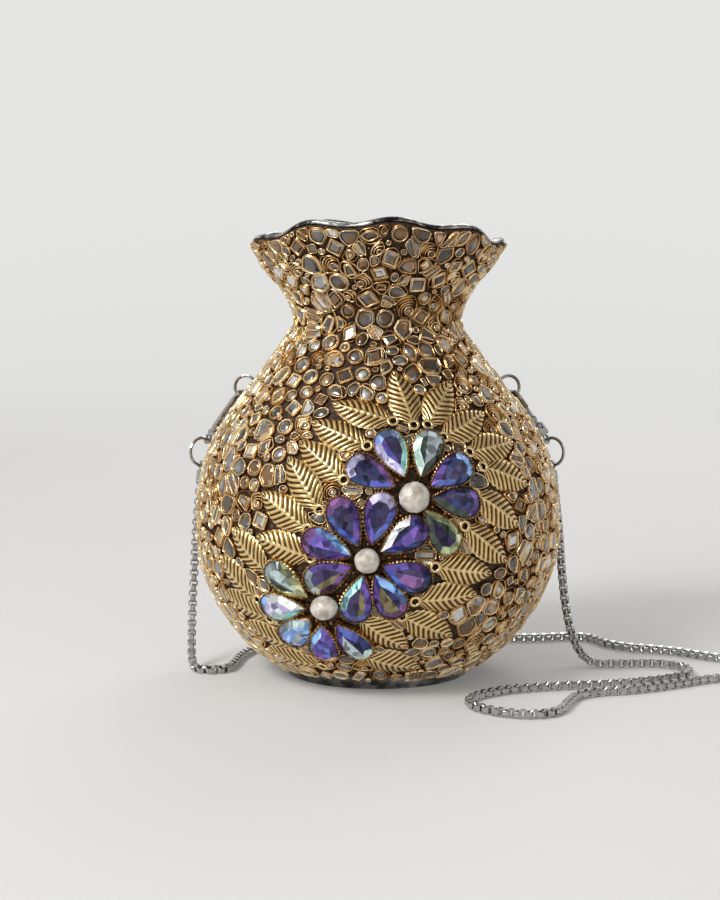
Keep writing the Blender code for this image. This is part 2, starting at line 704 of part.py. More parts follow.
def hardware_places(side):
    """The points and directions that the hanging metalwork of one side is built on."""
    azimuth = ear_azimuth(side)
    on_wall = wall_frame(azimuth, EAR_HEIGHT, 0)
    hooked = Vector((0, EAR_RADIUS * math.sin(HOOKED_AT), EAR_STAND + EAR_RADIUS * math.cos(HOOKED_AT)))
    ear_point = on_wall @ hooked
    eye_point = wall_point(azimuth, RING_EYE_HEIGHT, RING_EYE_LIFT)
    along = (ear_point - eye_point).normalized()
    around = Vector((-math.sin(azimuth), math.cos(azimuth), 0))
    outward = around.cross(along) * -1
    outward = outward if outward.dot(eye_point) > 0 else -outward
    across = outward.cross(along)
    slack = EYE_RADIUS - EYE_WIRE - RING_WIRE - CLEARANCE
    eye_down = PLATE_THICKNESS / 2 + CLEARANCE + EYE_WIRE + EYE_RADIUS
    plate = eye_point + (eye_down + slack) * along
    yaw = azimuth + side * RING_YAW
    sideways = Vector((math.cos(yaw), math.sin(yaw), 0))
    up = Vector((0, 0, 1))
    held = math.sin(RING_HELD_AT) * up - math.cos(RING_HELD_AT) * sideways
    ring = eye_point - RING_RADIUS * held
    ring_tangent = math.sin(RING_HELD_AT) * sideways + math.cos(RING_HELD_AT) * up
    ring_bottom = ring - RING_RADIUS * up
    away = Vector((ring_bottom.x, ring_bottom.y, 0)).normalized()
    return {
        "azimuth": azimuth,
        "ear_point": ear_point,
        "plate": plate,
        "along": along,
        "across": across,
        "outward": outward,
        "eye": plate - eye_down * along,
        "eye_normal": (ring_tangent - ring_tangent.dot(along) * along).normalized(),
        "reach": (ear_point - plate).dot(along),
        "ring": ring,
        "sideways": sideways,
        "ring_normal": sideways.cross(up),
        "ring_bottom": ring_bottom,
        "hang": (END_LEAN * away - END_DROP * up).normalized(),
    }


def make_ear(side, name, material, collection):
    """A bow of wire whose two legs are soldered to the wall."""
    foot = COAT_GROUND + CLEARANCE
    bow = [Vector((0, -EAR_RADIUS, foot))]
    for i in range(BOW_STEPS + 1):
        angle = math.pi * (i / BOW_STEPS - 0.5)
        bow.append(Vector((0, EAR_RADIUS * math.sin(angle), EAR_STAND + EAR_RADIUS * math.cos(angle))))
    bow.append(Vector((0, EAR_RADIUS, foot)))
    ear = mesh_object(name, tube(name, bow, EAR_WIRE, closed=False), material, collection)
    ear.matrix_world = wall_frame(ear_azimuth(side), EAR_HEIGHT, 0)


def make_swivel_eye(places, name, material, collection):
    """An eye on a stem that turns in the clasp's plate and is headed over inside it."""
    along, eye = places["along"], places["eye"]
    loop = circle_points(eye, along, along.cross(places["eye_normal"]), EYE_RADIUS)
    head_foot = places["plate"] + (PLATE_THICKNESS / 2 + CLEARANCE) * along
    stem = rod(eye + EYE_RADIUS * along, head_foot + STEM_HEAD / 2 * along, STEM_RADIUS)
    head = rod(head_foot, head_foot + STEM_HEAD * along, STEM_HEAD_RADIUS)
    mesh = combined(name, tube(name, loop, EYE_WIRE, closed=True), [("UNION", stem), ("UNION", head)])
    mesh_object(name, mesh, material, collection)


def hook_points(reach):
    """The middle line of the hook, in the clasp's plane, from its plate to its open tip."""
    top = reach + EAR_WIRE + CLEARANCE + HOOK_WIRE
    half = HOOK_HALF_WIDTH
    shoulder = top - half
    line = [(share * half, height) for share, height in HOOK_BACK]
    for i in range(HOOK_STEPS + 1):
        angle = math.pi * (1 - i / HOOK_STEPS)
        line.append((half * math.cos(angle), shoulder + half * math.sin(angle)))
    line.append((half, top * HOOK_GAPE))
    return [Vector((x, 0, z)) for x, z in line]


def make_clasp(places, name, material, collection):
    """The hook with its plate, and the lug that holds the trigger on a pin."""
    deep = Vector((0, 1, 0))
    middle = Vector((LUG_OUT, 0, LUG_HEIGHT / 2 - PLATE_THICKNESS / 2))
    plate = block((0, 0, 0), (PLATE_WIDTH, PLATE_DEPTH, PLATE_THICKNESS), PLATE_ROUNDING)
    lug = block(middle, (LUG_WIDTH, LUG_DEPTH, LUG_HEIGHT), LUG_ROUNDING)
    slot_depth = TRIGGER_DEPTH + 2 * CLEARANCE
    slot_bottom = PIVOT_UP - TRIGGER_BARREL - CLEARANCE
    slot_size = (LUG_WIDTH * 2, slot_depth, LUG_HEIGHT)
    slot = block(Vector((LUG_OUT, 0, slot_bottom + LUG_HEIGHT / 2)), slot_size, SMALL)
    pivot = Vector((LUG_OUT, 0, PIVOT_UP))
    half_pin = deep * (LUG_DEPTH / 2 - PIN_SUNK)
    pin = rod(pivot - half_pin, pivot + half_pin, PIVOT_PIN)
    up = Vector((0, 0, 1))
    bore = rod(-up * PLATE_THICKNESS * 2, up * (PLATE_THICKNESS / 2 + SMALL), STEM_RADIUS + CLEARANCE)
    room_foot = up * PLATE_THICKNESS / 2
    room_top = room_foot + up * (2 * CLEARANCE + STEM_HEAD)
    room = rod(room_foot, room_top, STEM_HEAD_RADIUS + CLEARANCE)
    hook = tube(name, hook_points(places["reach"]), HOOK_WIRE, closed=False, sides=CORD_SIDES)
    steps = [("UNION", plate), ("UNION", lug), ("DIFFERENCE", slot), ("UNION", pin)]
    steps += [("DIFFERENCE", bore), ("DIFFERENCE", room)]
    clasp = mesh_object(name, combined(name, hook, steps), material, collection)
    clasp.matrix_world = clasp_frame(places)


def clasp_frame(places):
    """X across the clasp towards its trigger, Y out from the pot and Z up the clasp."""
    return frame_at(places["plate"], places["across"], places["outward"], places["along"])


def make_trigger(places, name, material, collection):
    """The lever that closes the hook; its origin is on its pivot."""
    deep = Vector((0, 1, 0))
    half_depth = deep * TRIGGER_DEPTH / 2
    top = places["reach"] + EAR_WIRE + CLEARANCE + HOOK_WIRE
    tip = top * HOOK_GAPE - CLEARANCE - PIVOT_UP
    lean = HOOK_HALF_WIDTH - LUG_OUT
    barrel = rod(-half_depth, half_depth, TRIGGER_BARREL)
    bore = rod(-2 * half_depth, 2 * half_depth, PIVOT_PIN + CLEARANCE)
    bar_length = tip - BAR_FOOT
    bar_middle = Vector((lean, 0, BAR_FOOT + bar_length / 2))
    bar = block(bar_middle, (TRIGGER_WIDTH, TRIGGER_DEPTH, bar_length), TRIGGER_ROUNDING)
    thumb_middle = Vector((lean + THUMB_OUT, 0, BAR_FOOT + THUMB_AT * bar_length))
    half_thumb = deep * THUMB_DEPTH / 2
    thumb = rod(thumb_middle - half_thumb, thumb_middle + half_thumb, THUMB_RADIUS)
    steps = [("DIFFERENCE", bore), ("UNION", bar), ("UNION", thumb)]
    trigger = mesh_object(name, combined(name, barrel, steps), material, collection)
    trigger.matrix_world = clasp_frame(places) @ Matrix.Translation((LUG_OUT, 0, PIVOT_UP))


def make_ring(places, name, material, collection):
    """The round ring between the swivel eye and the chain's end."""
    flat = circle_points(Vector(), Vector((1, 0, 0)), Vector((0, 1, 0)), RING_RADIUS, RING_SEGMENTS)
    ring = mesh_object(name, tube(name, flat, RING_WIRE, closed=True), material, collection)
    ring.matrix_world = frame_at(
        places["ring"], places["sideways"], places["ring_normal"].cross(places["sideways"]),
        places["ring_normal"],
    )


def chain_start(places):
    """Where the chain leaves the barrel of its end fitting."""
    drop = BAIL_RADIUS - BAIL_WIRE - RING_WIRE - CLEARANCE
    drop += BAIL_RADIUS + BAIL_WIRE / 2 + BARREL_LENGTH + CLEARANCE
    return places["ring_bottom"] + drop * places["hang"]


def make_chain_end(places, name, material, collection):
    """A bail around the ring, with the barrel that holds the chain's last link."""
    hang = places["hang"]
    slack = BAIL_RADIUS - BAIL_WIRE - RING_WIRE - CLEARANCE
    centre = places["ring_bottom"] + slack * hang
    sideways = places["sideways"]
    normal = (sideways - sideways.dot(hang) * hang).normalized()
    loop = circle_points(centre, hang, normal.cross(hang), BAIL_RADIUS)
    barrel_foot = chain_start(places) - CLEARANCE * hang
    barrel = rod(barrel_foot - BARREL_LENGTH * hang, barrel_foot, BARREL_RADIUS)
    mesh = combined(name, tube(name, loop, BAIL_WIRE, closed=True), [("UNION", barrel)])
    mesh_object(name, mesh, material, collection)


def make_chain(places, route, name, material, collection):
    """A free stretch of the chain, from its end fitting to the coil."""
    points = [chain_start(places), *route]
    curve = round_curve(name, points, CHAIN_RADIUS, closed=False, sides=CORD_SIDES)
    curve.materials.append(material)
    collection.objects.link(bpy.data.objects.new(name, curve))


def make_coil(material, collection):
    """The outer shape of the rest of the chain, wound up beside the bag."""
    half = COIL_PITCH * COIL_TURNS_WIDE / 2
    top = SMALL + COIL_PITCH * COIL_TURNS_HIGH
    section = [(COIL_RADIUS + half, top), (COIL_RADIUS + half, SMALL)]
    section += [(COIL_RADIUS - half, SMALL), (COIL_RADIUS - half, top)]
    mesh = turned("chain_coil", section, closed=True, segments=COIL_SEGMENTS)
    coil = mesh_object("chain_coil", mesh, material, collection)
    coil.location = (*COIL_CENTRE, 0)


def build():
    for thing in list(bpy.data.objects):
        bpy.data.objects.remove(thing)
    bag = bpy.data.collections.new("potli_bag")
    bpy.context.scene.collection.children.link(bag)
    finishes = {name: finish(name, *values) for name, values in FINISHES.items()}
    nickel = finishes["nickel"]
    make_shell(nickel, bag)
    make_lining(finishes["black_lining"], bag)
    make_coat(finishes["antique_gold"], bag)
    make_flowers(finishes["violet_glass"], finishes["pearl"], bag)
    make_leaves(finishes["leaf_gold"], bag)
    for side, word, route in ((1, "right", RIGHT_ROUTE), (-1, "left", LEFT_ROUTE)):
        places = hardware_places(side)
        make_ear(side, f"ear_{word}", nickel, bag)
        make_swivel_eye(places, f"swivel_eye_{word}", nickel, bag)
        make_clasp(places, f"clasp_{word}", nickel, bag)
        make_trigger(places, f"trigger_{word}", nickel, bag)
        make_ring(places, f"ring_{word}", nickel, bag)
        make_chain_end(places, f"chain_end_{word}", nickel, bag)
        make_chain(places, route, f"chain_{word}", nickel, bag)
    make_coil(nickel, bag)


build()
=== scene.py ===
# %% [markdown]
# # A jewelled potli bag
#
# A potli is a round Indian pouch. This one is an evening bag whose pouch is a stiff metal pot, covered
# all over with glued stones in gold settings. Three glass flowers run over its front, between two arcs of
# pressed leaves, and a chain of small links hangs from an ear on each side.
#
# The CAD frame gives the places of everything. This script dresses it, one piece after the other.

# %% Load the frame
import math
import random

import bmesh
import bpy
import numpy as np
from mathutils import Matrix, Vector, noise


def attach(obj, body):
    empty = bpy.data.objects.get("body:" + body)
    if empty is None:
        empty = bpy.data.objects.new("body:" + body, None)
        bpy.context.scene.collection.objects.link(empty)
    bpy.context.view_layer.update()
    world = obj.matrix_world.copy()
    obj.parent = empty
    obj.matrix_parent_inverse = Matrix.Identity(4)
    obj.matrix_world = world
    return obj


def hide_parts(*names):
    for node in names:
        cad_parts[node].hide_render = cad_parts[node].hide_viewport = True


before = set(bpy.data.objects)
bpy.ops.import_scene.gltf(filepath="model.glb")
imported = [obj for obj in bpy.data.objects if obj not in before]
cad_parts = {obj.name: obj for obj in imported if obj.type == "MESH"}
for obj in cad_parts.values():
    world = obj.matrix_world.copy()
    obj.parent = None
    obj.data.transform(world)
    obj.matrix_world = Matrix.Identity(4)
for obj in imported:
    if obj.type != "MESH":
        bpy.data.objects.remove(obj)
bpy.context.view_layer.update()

# %% [markdown]
# ## The camera
#
# The photo looks at the bag from about its own height, slightly downwards, through a long lens. The
# place was worked out from how the round base, the belly and the rim appear. The sensor is measured on
# its vertical side because the picture is upright.

# %% Camera
EYE = (-0.0063, -0.700, 0.1602)
PITCH_DOWN = math.radians(6.5)
LENS_MM = 77.84
SENSOR_MM = 36

lens = bpy.data.cameras.new("camera")
lens.lens = LENS_MM
lens.sensor_fit = "VERTICAL"
lens.sensor_height = SENSOR_MM
camera = bpy.data.objects.new("camera", lens)
camera.location = EYE
camera.rotation_euler = (math.pi / 2 - PITCH_DOWN, 0, 0)
bpy.context.scene.collection.objects.link(camera)
bpy.context.scene.camera = camera
print("camera at", EYE)

# %% [markdown]
# ## Building materials from sums
#
# A material is a graph of nodes, and most of its graph is arithmetic. Wiring Math nodes by hand hides the
# formula, so a small class wraps a node's output: `1 - mask` or `grain * 0.3` then adds the nodes. One
# method makes every other node: its settings come first, because they decide which sockets it has.

# %% Values and finishes


class Value:
    """What a node gives. Sums with it add Math nodes."""

    def __init__(self, graph, socket):
        self.graph = graph
        self.socket = socket

    def beside(self, output):
        """Another output of the same node."""
        return Value(self.graph, self.socket.node.outputs[output])

    def _sum(self, operation, first, second):
        return self.graph.node("Math", {"operation": operation}, {0: first, 1: second})

    def __add__(self, other):
        return self._sum("ADD", self, other)

    def __sub__(self, other):
        return self._sum("SUBTRACT", self, other)

    def __rsub__(self, other):
        return self._sum("SUBTRACT", other, self)

    def __mul__(self, other):
        return self._sum("MULTIPLY", self, other)

    __radd__ = __add__
    __rmul__ = __mul__


class Graph:
    """A tree of nodes that is being built around its shader."""

    def __init__(self, tree, shader):
        self.tree = tree
        self.shader = tree.nodes[shader]

    def node(self, kind, settings, inputs, output=0):
        made = self.tree.nodes.new("ShaderNode" + kind)
        for setting, value in settings.items():
            if setting == "stops":
                self._set_stops(made.color_ramp, value)
            else:
                setattr(made, setting, value)
        for socket, value in inputs.items():
            self._set(made.inputs[socket], value)
        return Value(self, made.outputs[output])

    def _set_stops(self, ramp, stops):
        while len(ramp.elements) < len(stops):
            ramp.elements.new(1)
        for element, (place, color) in zip(ramp.elements, stops):
            element.position = place
            element.color = (*color, 1)

    def _set(self, socket, value):
        if isinstance(value, Value):
            self.tree.links.new(value.socket, socket)
        else:
            socket.default_value = value

    def feed(self, socket, value):
        self.tree.links.new(value.socket, self.shader.inputs[socket])

    def ramp(self, value, *stops):
        return self.node("ValToRGB", {"stops": stops}, {"Fac": value})

    def tint(self, share, first, second):
        first = first if isinstance(first, Value) else (*first, 1)
        second = second if isinstance(second, Value) else (*second, 1)
        return self.node("Mix", {"data_type": "RGBA"}, {0: share, 6: first, 7: second}, 2)

    def seen(self):
        """1 for the camera, mirrors and glass, and 0 for the light that falls on the object."""
        camera = self.node("LightPath", {}, {}, "Is Camera Ray")
        return camera + camera.beside("Is Glossy Ray") + camera.beside("Is Transmission Ray")


class Finish(Graph):
    """A Principled material, with its constants on the sockets."""

    def __init__(self, name, **constants):
        self.material = bpy.data.materials.new(name)
        self.material.use_nodes = True
        super().__init__(self.material.node_tree, "Principled BSDF")
        for socket, value in constants.items():
            label = socket.replace("_", " ").title().replace("Ior", "IOR")
            self.shader.inputs[label].default_value = value

    def place(self):
        return self.node("TexCoord", {}, {}, "Object")

    def grain(self, scale, detail=3):
        return self.node("TexNoise", {}, {"Vector": self.place(), "Scale": scale, "Detail": detail})

    def marked(self, name):
        """A number that the mesh carries for each face or point."""
        return self.node("Attribute", {"attribute_name": name}, {}, "Fac")

    def bumps(self, height, strength, depth=0.0003):
        inputs = {"Height": height, "Strength": strength, "Distance": depth}
        self.feed("Normal", self.node("Bump", {}, inputs))


# %% [markdown]
# ## The finishes
#
# The metal on the real bag is plated, and old-looking on purpose: gold wire stays bright on its crests
# while brown lacquer fills the hollows, and the hollows are painted darker still as painted shade. The
# stones are clear glass with a foil behind it, which makes them look like small mirrors, grey or honey
# brown; the domed ones also carry a painted shade on their edge and a painted highlight. Only the
# colour, roughness, metallic value and normal vary.

# %% Metals
nickel = Finish("nickel", metallic=1.0)
smear = nickel.grain(260)
nickel.feed("Base Color", nickel.tint(smear, (0.16, 0.16, 0.155), (0.66, 0.65, 0.63)))
nickel.feed("Roughness", smear * 0.24 + 0.08)
nickel.bumps(nickel.grain(900), 0.15)

foil_edge = Finish("silver_edge", metallic=1.0)
crease = foil_edge.grain(170, 4)
foil_edge.feed("Base Color", foil_edge.ramp(crease, (0.42, (0.020, 0.019, 0.018)), (0.66, (0.60, 0.59, 0.57))))
foil_edge.feed("Roughness", crease * 0.3 + 0.1)
foil_edge.bumps(crease, 0.8, 0.0012)

link_steel = Finish("link_steel", metallic=1.0)
rub = link_steel.grain(700)
link_steel.feed("Base Color", link_steel.tint(rub, (0.26, 0.255, 0.25), (0.68, 0.67, 0.66)))
link_steel.feed("Roughness", rub * 0.25 + 0.12)

wire_gold = Finish("wire_gold")
hollow = wire_gold.marked("hollow")
# worn adds random wear to the depth under the wall: the hollows go amber and near black, partly as brown
# lacquer and partly as painted shade
worn = hollow + wire_gold.grain(420) * 0.5 - 0.25
GOLD_CREST = (0.90, 0.73, 0.46)
GOLD_WARM = (0.60, 0.36, 0.13)
AMBER_AND_SHADE = (0.24, 0.095, 0.024)
PITCH_AND_SHADE = (0.022, 0.009, 0.003)
plated = wire_gold.ramp(worn, (0.06, GOLD_CREST), (0.3, GOLD_WARM), (0.6, AMBER_AND_SHADE), (0.95, PITCH_AND_SHADE))
wire_gold.feed("Base Color", plated)
wire_gold.feed("Metallic", 1.0 - hollow * 0.35)
wire_gold.feed("Roughness", wire_gold.grain(900) * 0.2 + 0.16)
wire_gold.bumps(wire_gold.grain(1500), 0.3)

lacquer = Finish("brown_lacquer")
crumbs = lacquer.grain(900, 5)
lacquer.feed("Base Color", lacquer.ramp(crumbs, (0.45, (0.010, 0.005, 0.002)), (0.72, (0.15, 0.068, 0.020))))
lacquer.feed("Metallic", crumbs * 0.6)
lacquer.feed("Roughness", 0.75 - crumbs * 0.35)
lacquer.bumps(crumbs, 0.9, 0.0006)

leaf_gold = Finish("leaf_gold", metallic=1.0)
hollow = leaf_gold.marked("hollow")
# aged adds random tone to the groove depth: the grooves go brown and near black, partly as antique finish and
# partly as painted shade
aged_and_shaded = leaf_gold.grain(350) * 0.4 + hollow - 0.2
LEAF_CREST = (0.84, 0.65, 0.34)
LEAF_WARM = (0.54, 0.35, 0.13)
LEAF_DARK_AND_SHADE = (0.07, 0.03, 0.009)
pressed = leaf_gold.ramp(aged_and_shaded, (0.08, LEAF_CREST), (0.36, LEAF_WARM), (0.75, LEAF_DARK_AND_SHADE))
leaf_gold.feed("Base Color", pressed)
leaf_gold.feed("Roughness", hollow * 0.25 + 0.2)
leaf_gold.bumps(leaf_gold.grain(1500), 0.2)
print("metals:", [f.material.name for f in (nickel, foil_edge, link_steel, wire_gold, lacquer, leaf_gold)])

# %% Stones, pearls and velvet
foiled = Finish("foiled_glass", coat_weight=1.0, coat_roughness=0.02)
cut = foiled.marked("cut")
crackle = foiled.node("TexVoronoi", {"feature": "F1"}, {"Vector": foiled.place(), "Scale": 420})
# On domed stones the cut mark also carries a painted shade at the edge and a painted highlight crescent;
# otherwise it is each stone's random tone
depth = cut + foiled.grain(520) * 0.3 - 0.15
FOIL_DARK = (0.020, 0.016, 0.013)
FOIL_GREY = (0.17, 0.16, 0.15)
FOIL_LIGHT = (0.70, 0.69, 0.67)
silver = foiled.ramp(depth, (0.05, FOIL_DARK), (0.5, FOIL_GREY), (1.0, FOIL_LIGHT))
honey = foiled.ramp(depth, (0.05, (0.022, 0.009, 0.003)), (0.5, (0.26, 0.13, 0.042)), (1.0, (0.72, 0.53, 0.31)))
yellowed = foiled.ramp(foiled.grain(130, 1), (0.50, (0, 0, 0)), (0.56, (1, 1, 1)))
foiled.feed("Base Color", foiled.tint(yellowed, silver, honey))
foiled.feed("Roughness", crackle * 0.2 + 0.08)
foiled.feed("Metallic", foiled.grain(300) * 0.3 + 0.6)
foiled.bumps(crackle, 0.35, 0.0004)

pearl = Finish("pearl", coat_weight=0.35, coat_roughness=0.15)
skin = pearl.grain(330, 5)
pearl.feed("Base Color", pearl.ramp(skin, (0.34, (0.40, 0.34, 0.28)), (0.6, (0.76, 0.71, 0.63))))
pearl.feed("Roughness", skin * 0.3 + 0.2)
pearl.bumps(skin, 0.7, 0.0012)

velvet = Finish("black_velvet", sheen_weight=0.25)
pile = velvet.grain(1500)
velvet.feed("Base Color", velvet.tint(pile, (0.005, 0.005, 0.005), (0.018, 0.017, 0.018)))
velvet.feed("Roughness", pile * 0.1 + 0.9)
velvet.bumps(pile, 0.5)
print("stones: foiled glass, pearl; lining: velvet")

# %% [markdown]
# ## The chain
#
# The strap is one chain, a fixed length of something limp. It hangs from a small barrel under each ring,
# reaches the table and lies there in loose curves. What the photo doesn't show lies in a neat coil just
# outside the view. The points are those of the CAD route; the coil's turns are worked out.

# %% The chain's route
LIES = 0.0017
LEFT_START = (-0.06564, 0.01665, 0.06699)
LEFT_ROUTE = (
    (-0.0672, 0.0156, 0.0500), (-0.0678, 0.0140, 0.0360), (-0.0683, 0.0100, 0.0220),
    (-0.0682, 0.0035, 0.0105), (-0.0676, -0.0025, 0.0040), (-0.0655, -0.0075, LIES),
    (-0.0600, -0.0101, LIES), (-0.0545, -0.0070, LIES), (-0.0525, 0.0010, LIES),
    (-0.0515, 0.0095, LIES), (-0.0495, 0.0180, LIES), (-0.0455, 0.0270, LIES),
    (-0.0380, 0.0360, LIES), (-0.0270, 0.0440, LIES), (-0.0120, 0.0495, LIES),
    (0.0040, 0.0515, LIES), (0.0200, 0.0510, LIES), (0.0360, 0.0480, LIES),
    (0.0500, 0.0455, LIES), (0.0640, 0.0460, LIES), (0.0740, 0.0478, LIES),
    (0.0810, 0.0468, LIES), (0.0855, 0.0410, LIES), (0.0890, 0.0340, LIES),
    (0.0955, 0.0285, LIES), (0.1045, 0.0248, LIES), (0.1130, 0.0203, LIES),
    (0.1205, 0.0140, LIES), (0.1280, 0.0090, LIES), (0.1340, 0.0080, LIES),
    (0.1400, 0.0104, LIES), (0.1455, 0.0136, LIES), (0.1520, 0.0155, LIES),
)
RIGHT_START = (0.06564, 0.01665, 0.06699)
RIGHT_ROUTE = (
    (0.0676, 0.0160, 0.0500), (0.0686, 0.0148, 0.0360), (0.0700, 0.0125, 0.0220),
    (0.0722, 0.0092, 0.0110), (0.0755, 0.0050, 0.0043), (0.0800, 0.0018, LIES),
    (0.0870, 0.0006, LIES), (0.0950, 0.0009, LIES), (0.1030, 0.0006, LIES),
    (0.1095, -0.0032, LIES), (0.1124, -0.0100, LIES), (0.1105, -0.0175, LIES),
    (0.1035, -0.0230, LIES), (0.0940, -0.0278, LIES), (0.0820, -0.0312, LIES),
    (0.0690, -0.0335, LIES), (0.0570, -0.0362, LIES), (0.0460, -0.0402, LIES),
    (0.0365, -0.0467, LIES), (0.0310, -0.0545, LIES), (0.0316, -0.0630, LIES),
    (0.0378, -0.0705, LIES), (0.0465, -0.0746, LIES), (0.0555, -0.0736, LIES),
    (0.0610, -0.0670, LIES), (0.0640, -0.0580, LIES), (0.0682, -0.0490, LIES),
    (0.0760, -0.0438, LIES), (0.0860, -0.0410, LIES), (0.0960, -0.0368, LIES),
    (0.1050, -0.0318, LIES), (0.1140, -0.0262, LIES), (0.1220, -0.0228, LIES),
    (0.1300, -0.0235, LIES), (0.1380, -0.0272, LIES), (0.1465, -0.0307, LIES),
    (0.1560, -0.0320, LIES),
)
COIL_CENTRE = (0.156, -0.008)
COIL_RADIUS = 0.018
COIL_PITCH = 0.0034
COIL_FROM = 80
COIL_TO = COIL_FROM - 360 * 3 - 150
POINTS_A_TURN = 24
# Degrees wound when the chain steps in, up and out again, and when it turns away and comes down
STEP_IN, STEP_UP, STEP_OUT = 330, 690, 1050
TURNS_AWAY, COMES_DOWN = 1130, 1165
STEP, AWAY_STEP = 60, 90
CLEARANCE = 0.0036


def eased(share):
    """From 0 to 1, starting and ending gently."""
    share = min(max(share, 0), 1)
    return share * share * (3 - 2 * share)


def coil_point(angle):
    """Outer turn, inner turn, inner turn above, outer turn above; the last part comes down."""
    wound = COIL_FROM - angle
    inwards = eased((wound - STEP_IN) / STEP) - eased((wound - STEP_OUT) / STEP)
    upwards = eased((wound - STEP_UP) / STEP)
    radius = COIL_RADIUS + COIL_PITCH * (0.5 - inwards)
    height = LIES + COIL_PITCH * upwards
    radius += CLEARANCE * eased((wound - TURNS_AWAY) / AWAY_STEP)
    height -= COIL_PITCH * eased((wound - COMES_DOWN) / STEP)
    around = math.radians(angle)
    x, y = COIL_CENTRE
    return (x + radius * math.cos(around), y + radius * math.sin(around), height)


steps = range((COIL_FROM - COIL_TO) * POINTS_A_TURN // 360 + 1)
coil = [coil_point(COIL_FROM - 360 / POINTS_A_TURN * step) for step in steps]
route = [LEFT_START, *LEFT_ROUTE, *coil, *reversed(RIGHT_ROUTE), RIGHT_START]
print("the chain's route has", len(route), "points,", len(coil), "of them in the coil")

# %% [markdown]
# ## The chain's links
#
# Each link is a small box: a flat band bent into a rounded frame. Every second link is turned by a
# quarter, so each frame holds the ends of its neighbours. One frame is modelled and copied along an evenly
# spaced smooth line through the route. A copy needs a direction that doesn't twist from one link to
# the next, so each takes the last one's, made square to the line again.

# %% Link the chain
LINK_PITCH = 0.0019
LINK_LENGTH = 0.0031
LINK_WIDTH = 0.0031
LINK_BAND = 0.0017
LINK_WALL = 0.00055
LINK_CORNER = 0.0008
# How far under the wall's surface the gold settings are darkest, as brown lacquer and as painted shade
HOLLOW_DEPTH = 0.0013


def smooth_line(points, step):
    """Evenly spaced points on a smooth curve through the points."""
    points = [Vector(point) for point in points]
    padded = [2 * points[0] - points[1], *points, 2 * points[-1] - points[-2]]
    fine = []
    for before, start, end, after in zip(padded, padded[1:], padded[2:], padded[3:]):
        for i in range(12):
            t = i / 12
            bend = (2 * before - 5 * start + 4 * end - after) * t**2
            bend += (3 * start - before - 3 * end + after) * t**3
            fine.append(0.5 * (2 * start + (end - before) * t + bend))
    fine = np.array([*fine, points[-1]])
    along = np.concatenate([[0], np.cumsum(np.linalg.norm(np.diff(fine, axis=0), axis=1))])
    wanted = np.linspace(0, along[-1], round(along[-1] / step) + 1)
    return np.stack([np.interp(wanted, along, fine[:, axis]) for axis in range(3)], axis=1)


def rounded_frame(length, width, corner):
    """The outline of a box with cut corners."""
    x, y = length / 2, width / 2
    corners = ((x, y - corner), (x - corner, y), (corner - x, y), (-x, y - corner))
    return [*corners, *((-a, -b) for a, b in corners)]


def rings_to_faces(rows, count, whole=True, closed=False):
    """Quads between rows of points; whole joins a row's own ends, closed the last row to the first."""
    faces = []
    for row in range(rows if closed else rows - 1):
        a, b = row * count, (row + 1) % rows * count
        for i in range(count if whole else count - 1):
            j = (i + 1) % count
            faces.append((a + i, a + j, b + j, b + i))
    return faces


def flipped(faces):
    """The same faces, turned to the other side."""
    return [(face[0], *face[:0:-1]) for face in faces]


def capped(rows, count):
    """Quads between rows of points, then triangles from the last row to one point."""
    last = (rows - 1) * count
    fan = [(last + i, last + (i + 1) % count, last + count) for i in range(count)]
    return rings_to_faces(rows, count) + fan


def link_shape():
    """Points and faces of one link, which runs along X and is open along Z."""
    outside = rounded_frame(LINK_LENGTH, LINK_WIDTH, LINK_CORNER)
    inner = (LINK_LENGTH - 2 * LINK_WALL, LINK_WIDTH - 2 * LINK_WALL)
    inside = rounded_frame(*inner, LINK_CORNER - LINK_WALL / 2)
    z, worn = LINK_BAND / 2, LINK_BAND / 2 - 0.0002
    shoulder = rounded_frame(LINK_LENGTH - 0.0003, LINK_WIDTH - 0.0003, LINK_CORNER)
    rings = [(inside, -z), (shoulder, -z), (outside, -worn), (outside, worn), (shoulder, z), (inside, z)]
    points = [(x, y, height) for ring, height in rings for x, y in ring]
    return np.array(points), rings_to_faces(len(rings), len(outside), closed=True)


class Pile:
    """Gathers many small shapes into one mesh, with a number for each point or each face."""

    def __init__(self):
        self.points, self.faces, self.marks, self.count = [], [], [], 0

    def add(self, points, faces, marks=()):
        self.points.append(np.asarray(points, float))
        self.faces.extend([tuple(self.count + i for i in face) for face in faces])
        self.marks.extend(marks)
        self.count += len(points)

    def piece(self, name, finish, place=None, mark=None, smooth=True):
        points = np.concatenate(self.points)
        placed = place(points) if place else points
        mesh = bpy.data.meshes.new(name)
        mesh.from_pydata(placed.tolist(), [], self.faces)
        # The hollow mark is the depth under the wall; the gold's finish turns it into brown lacquer and painted
        # shade
        if mark == "hollow":
            self.marks = np.clip(-points[:, 2] / HOLLOW_DEPTH, 0, 1)
        if mark:
            domain = "POINT" if len(self.marks) == len(points) else "FACE"
            mesh.attributes.new(mark, "FLOAT", domain).data.foreach_set("value", self.marks)
        return dressed(name, mesh, finish, smooth)


def dressed(name, mesh, finish, smooth=True):
    """A mesh as a piece, with its finish, riding on the bag."""
    mesh.polygons.foreach_set("use_smooth", [smooth] * len(mesh.polygons))
    mesh.materials.append(finish.material)
    mesh.update()
    piece = bpy.data.objects.new(name, mesh)
    bpy.context.scene.collection.objects.link(piece)
    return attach(piece, "root")


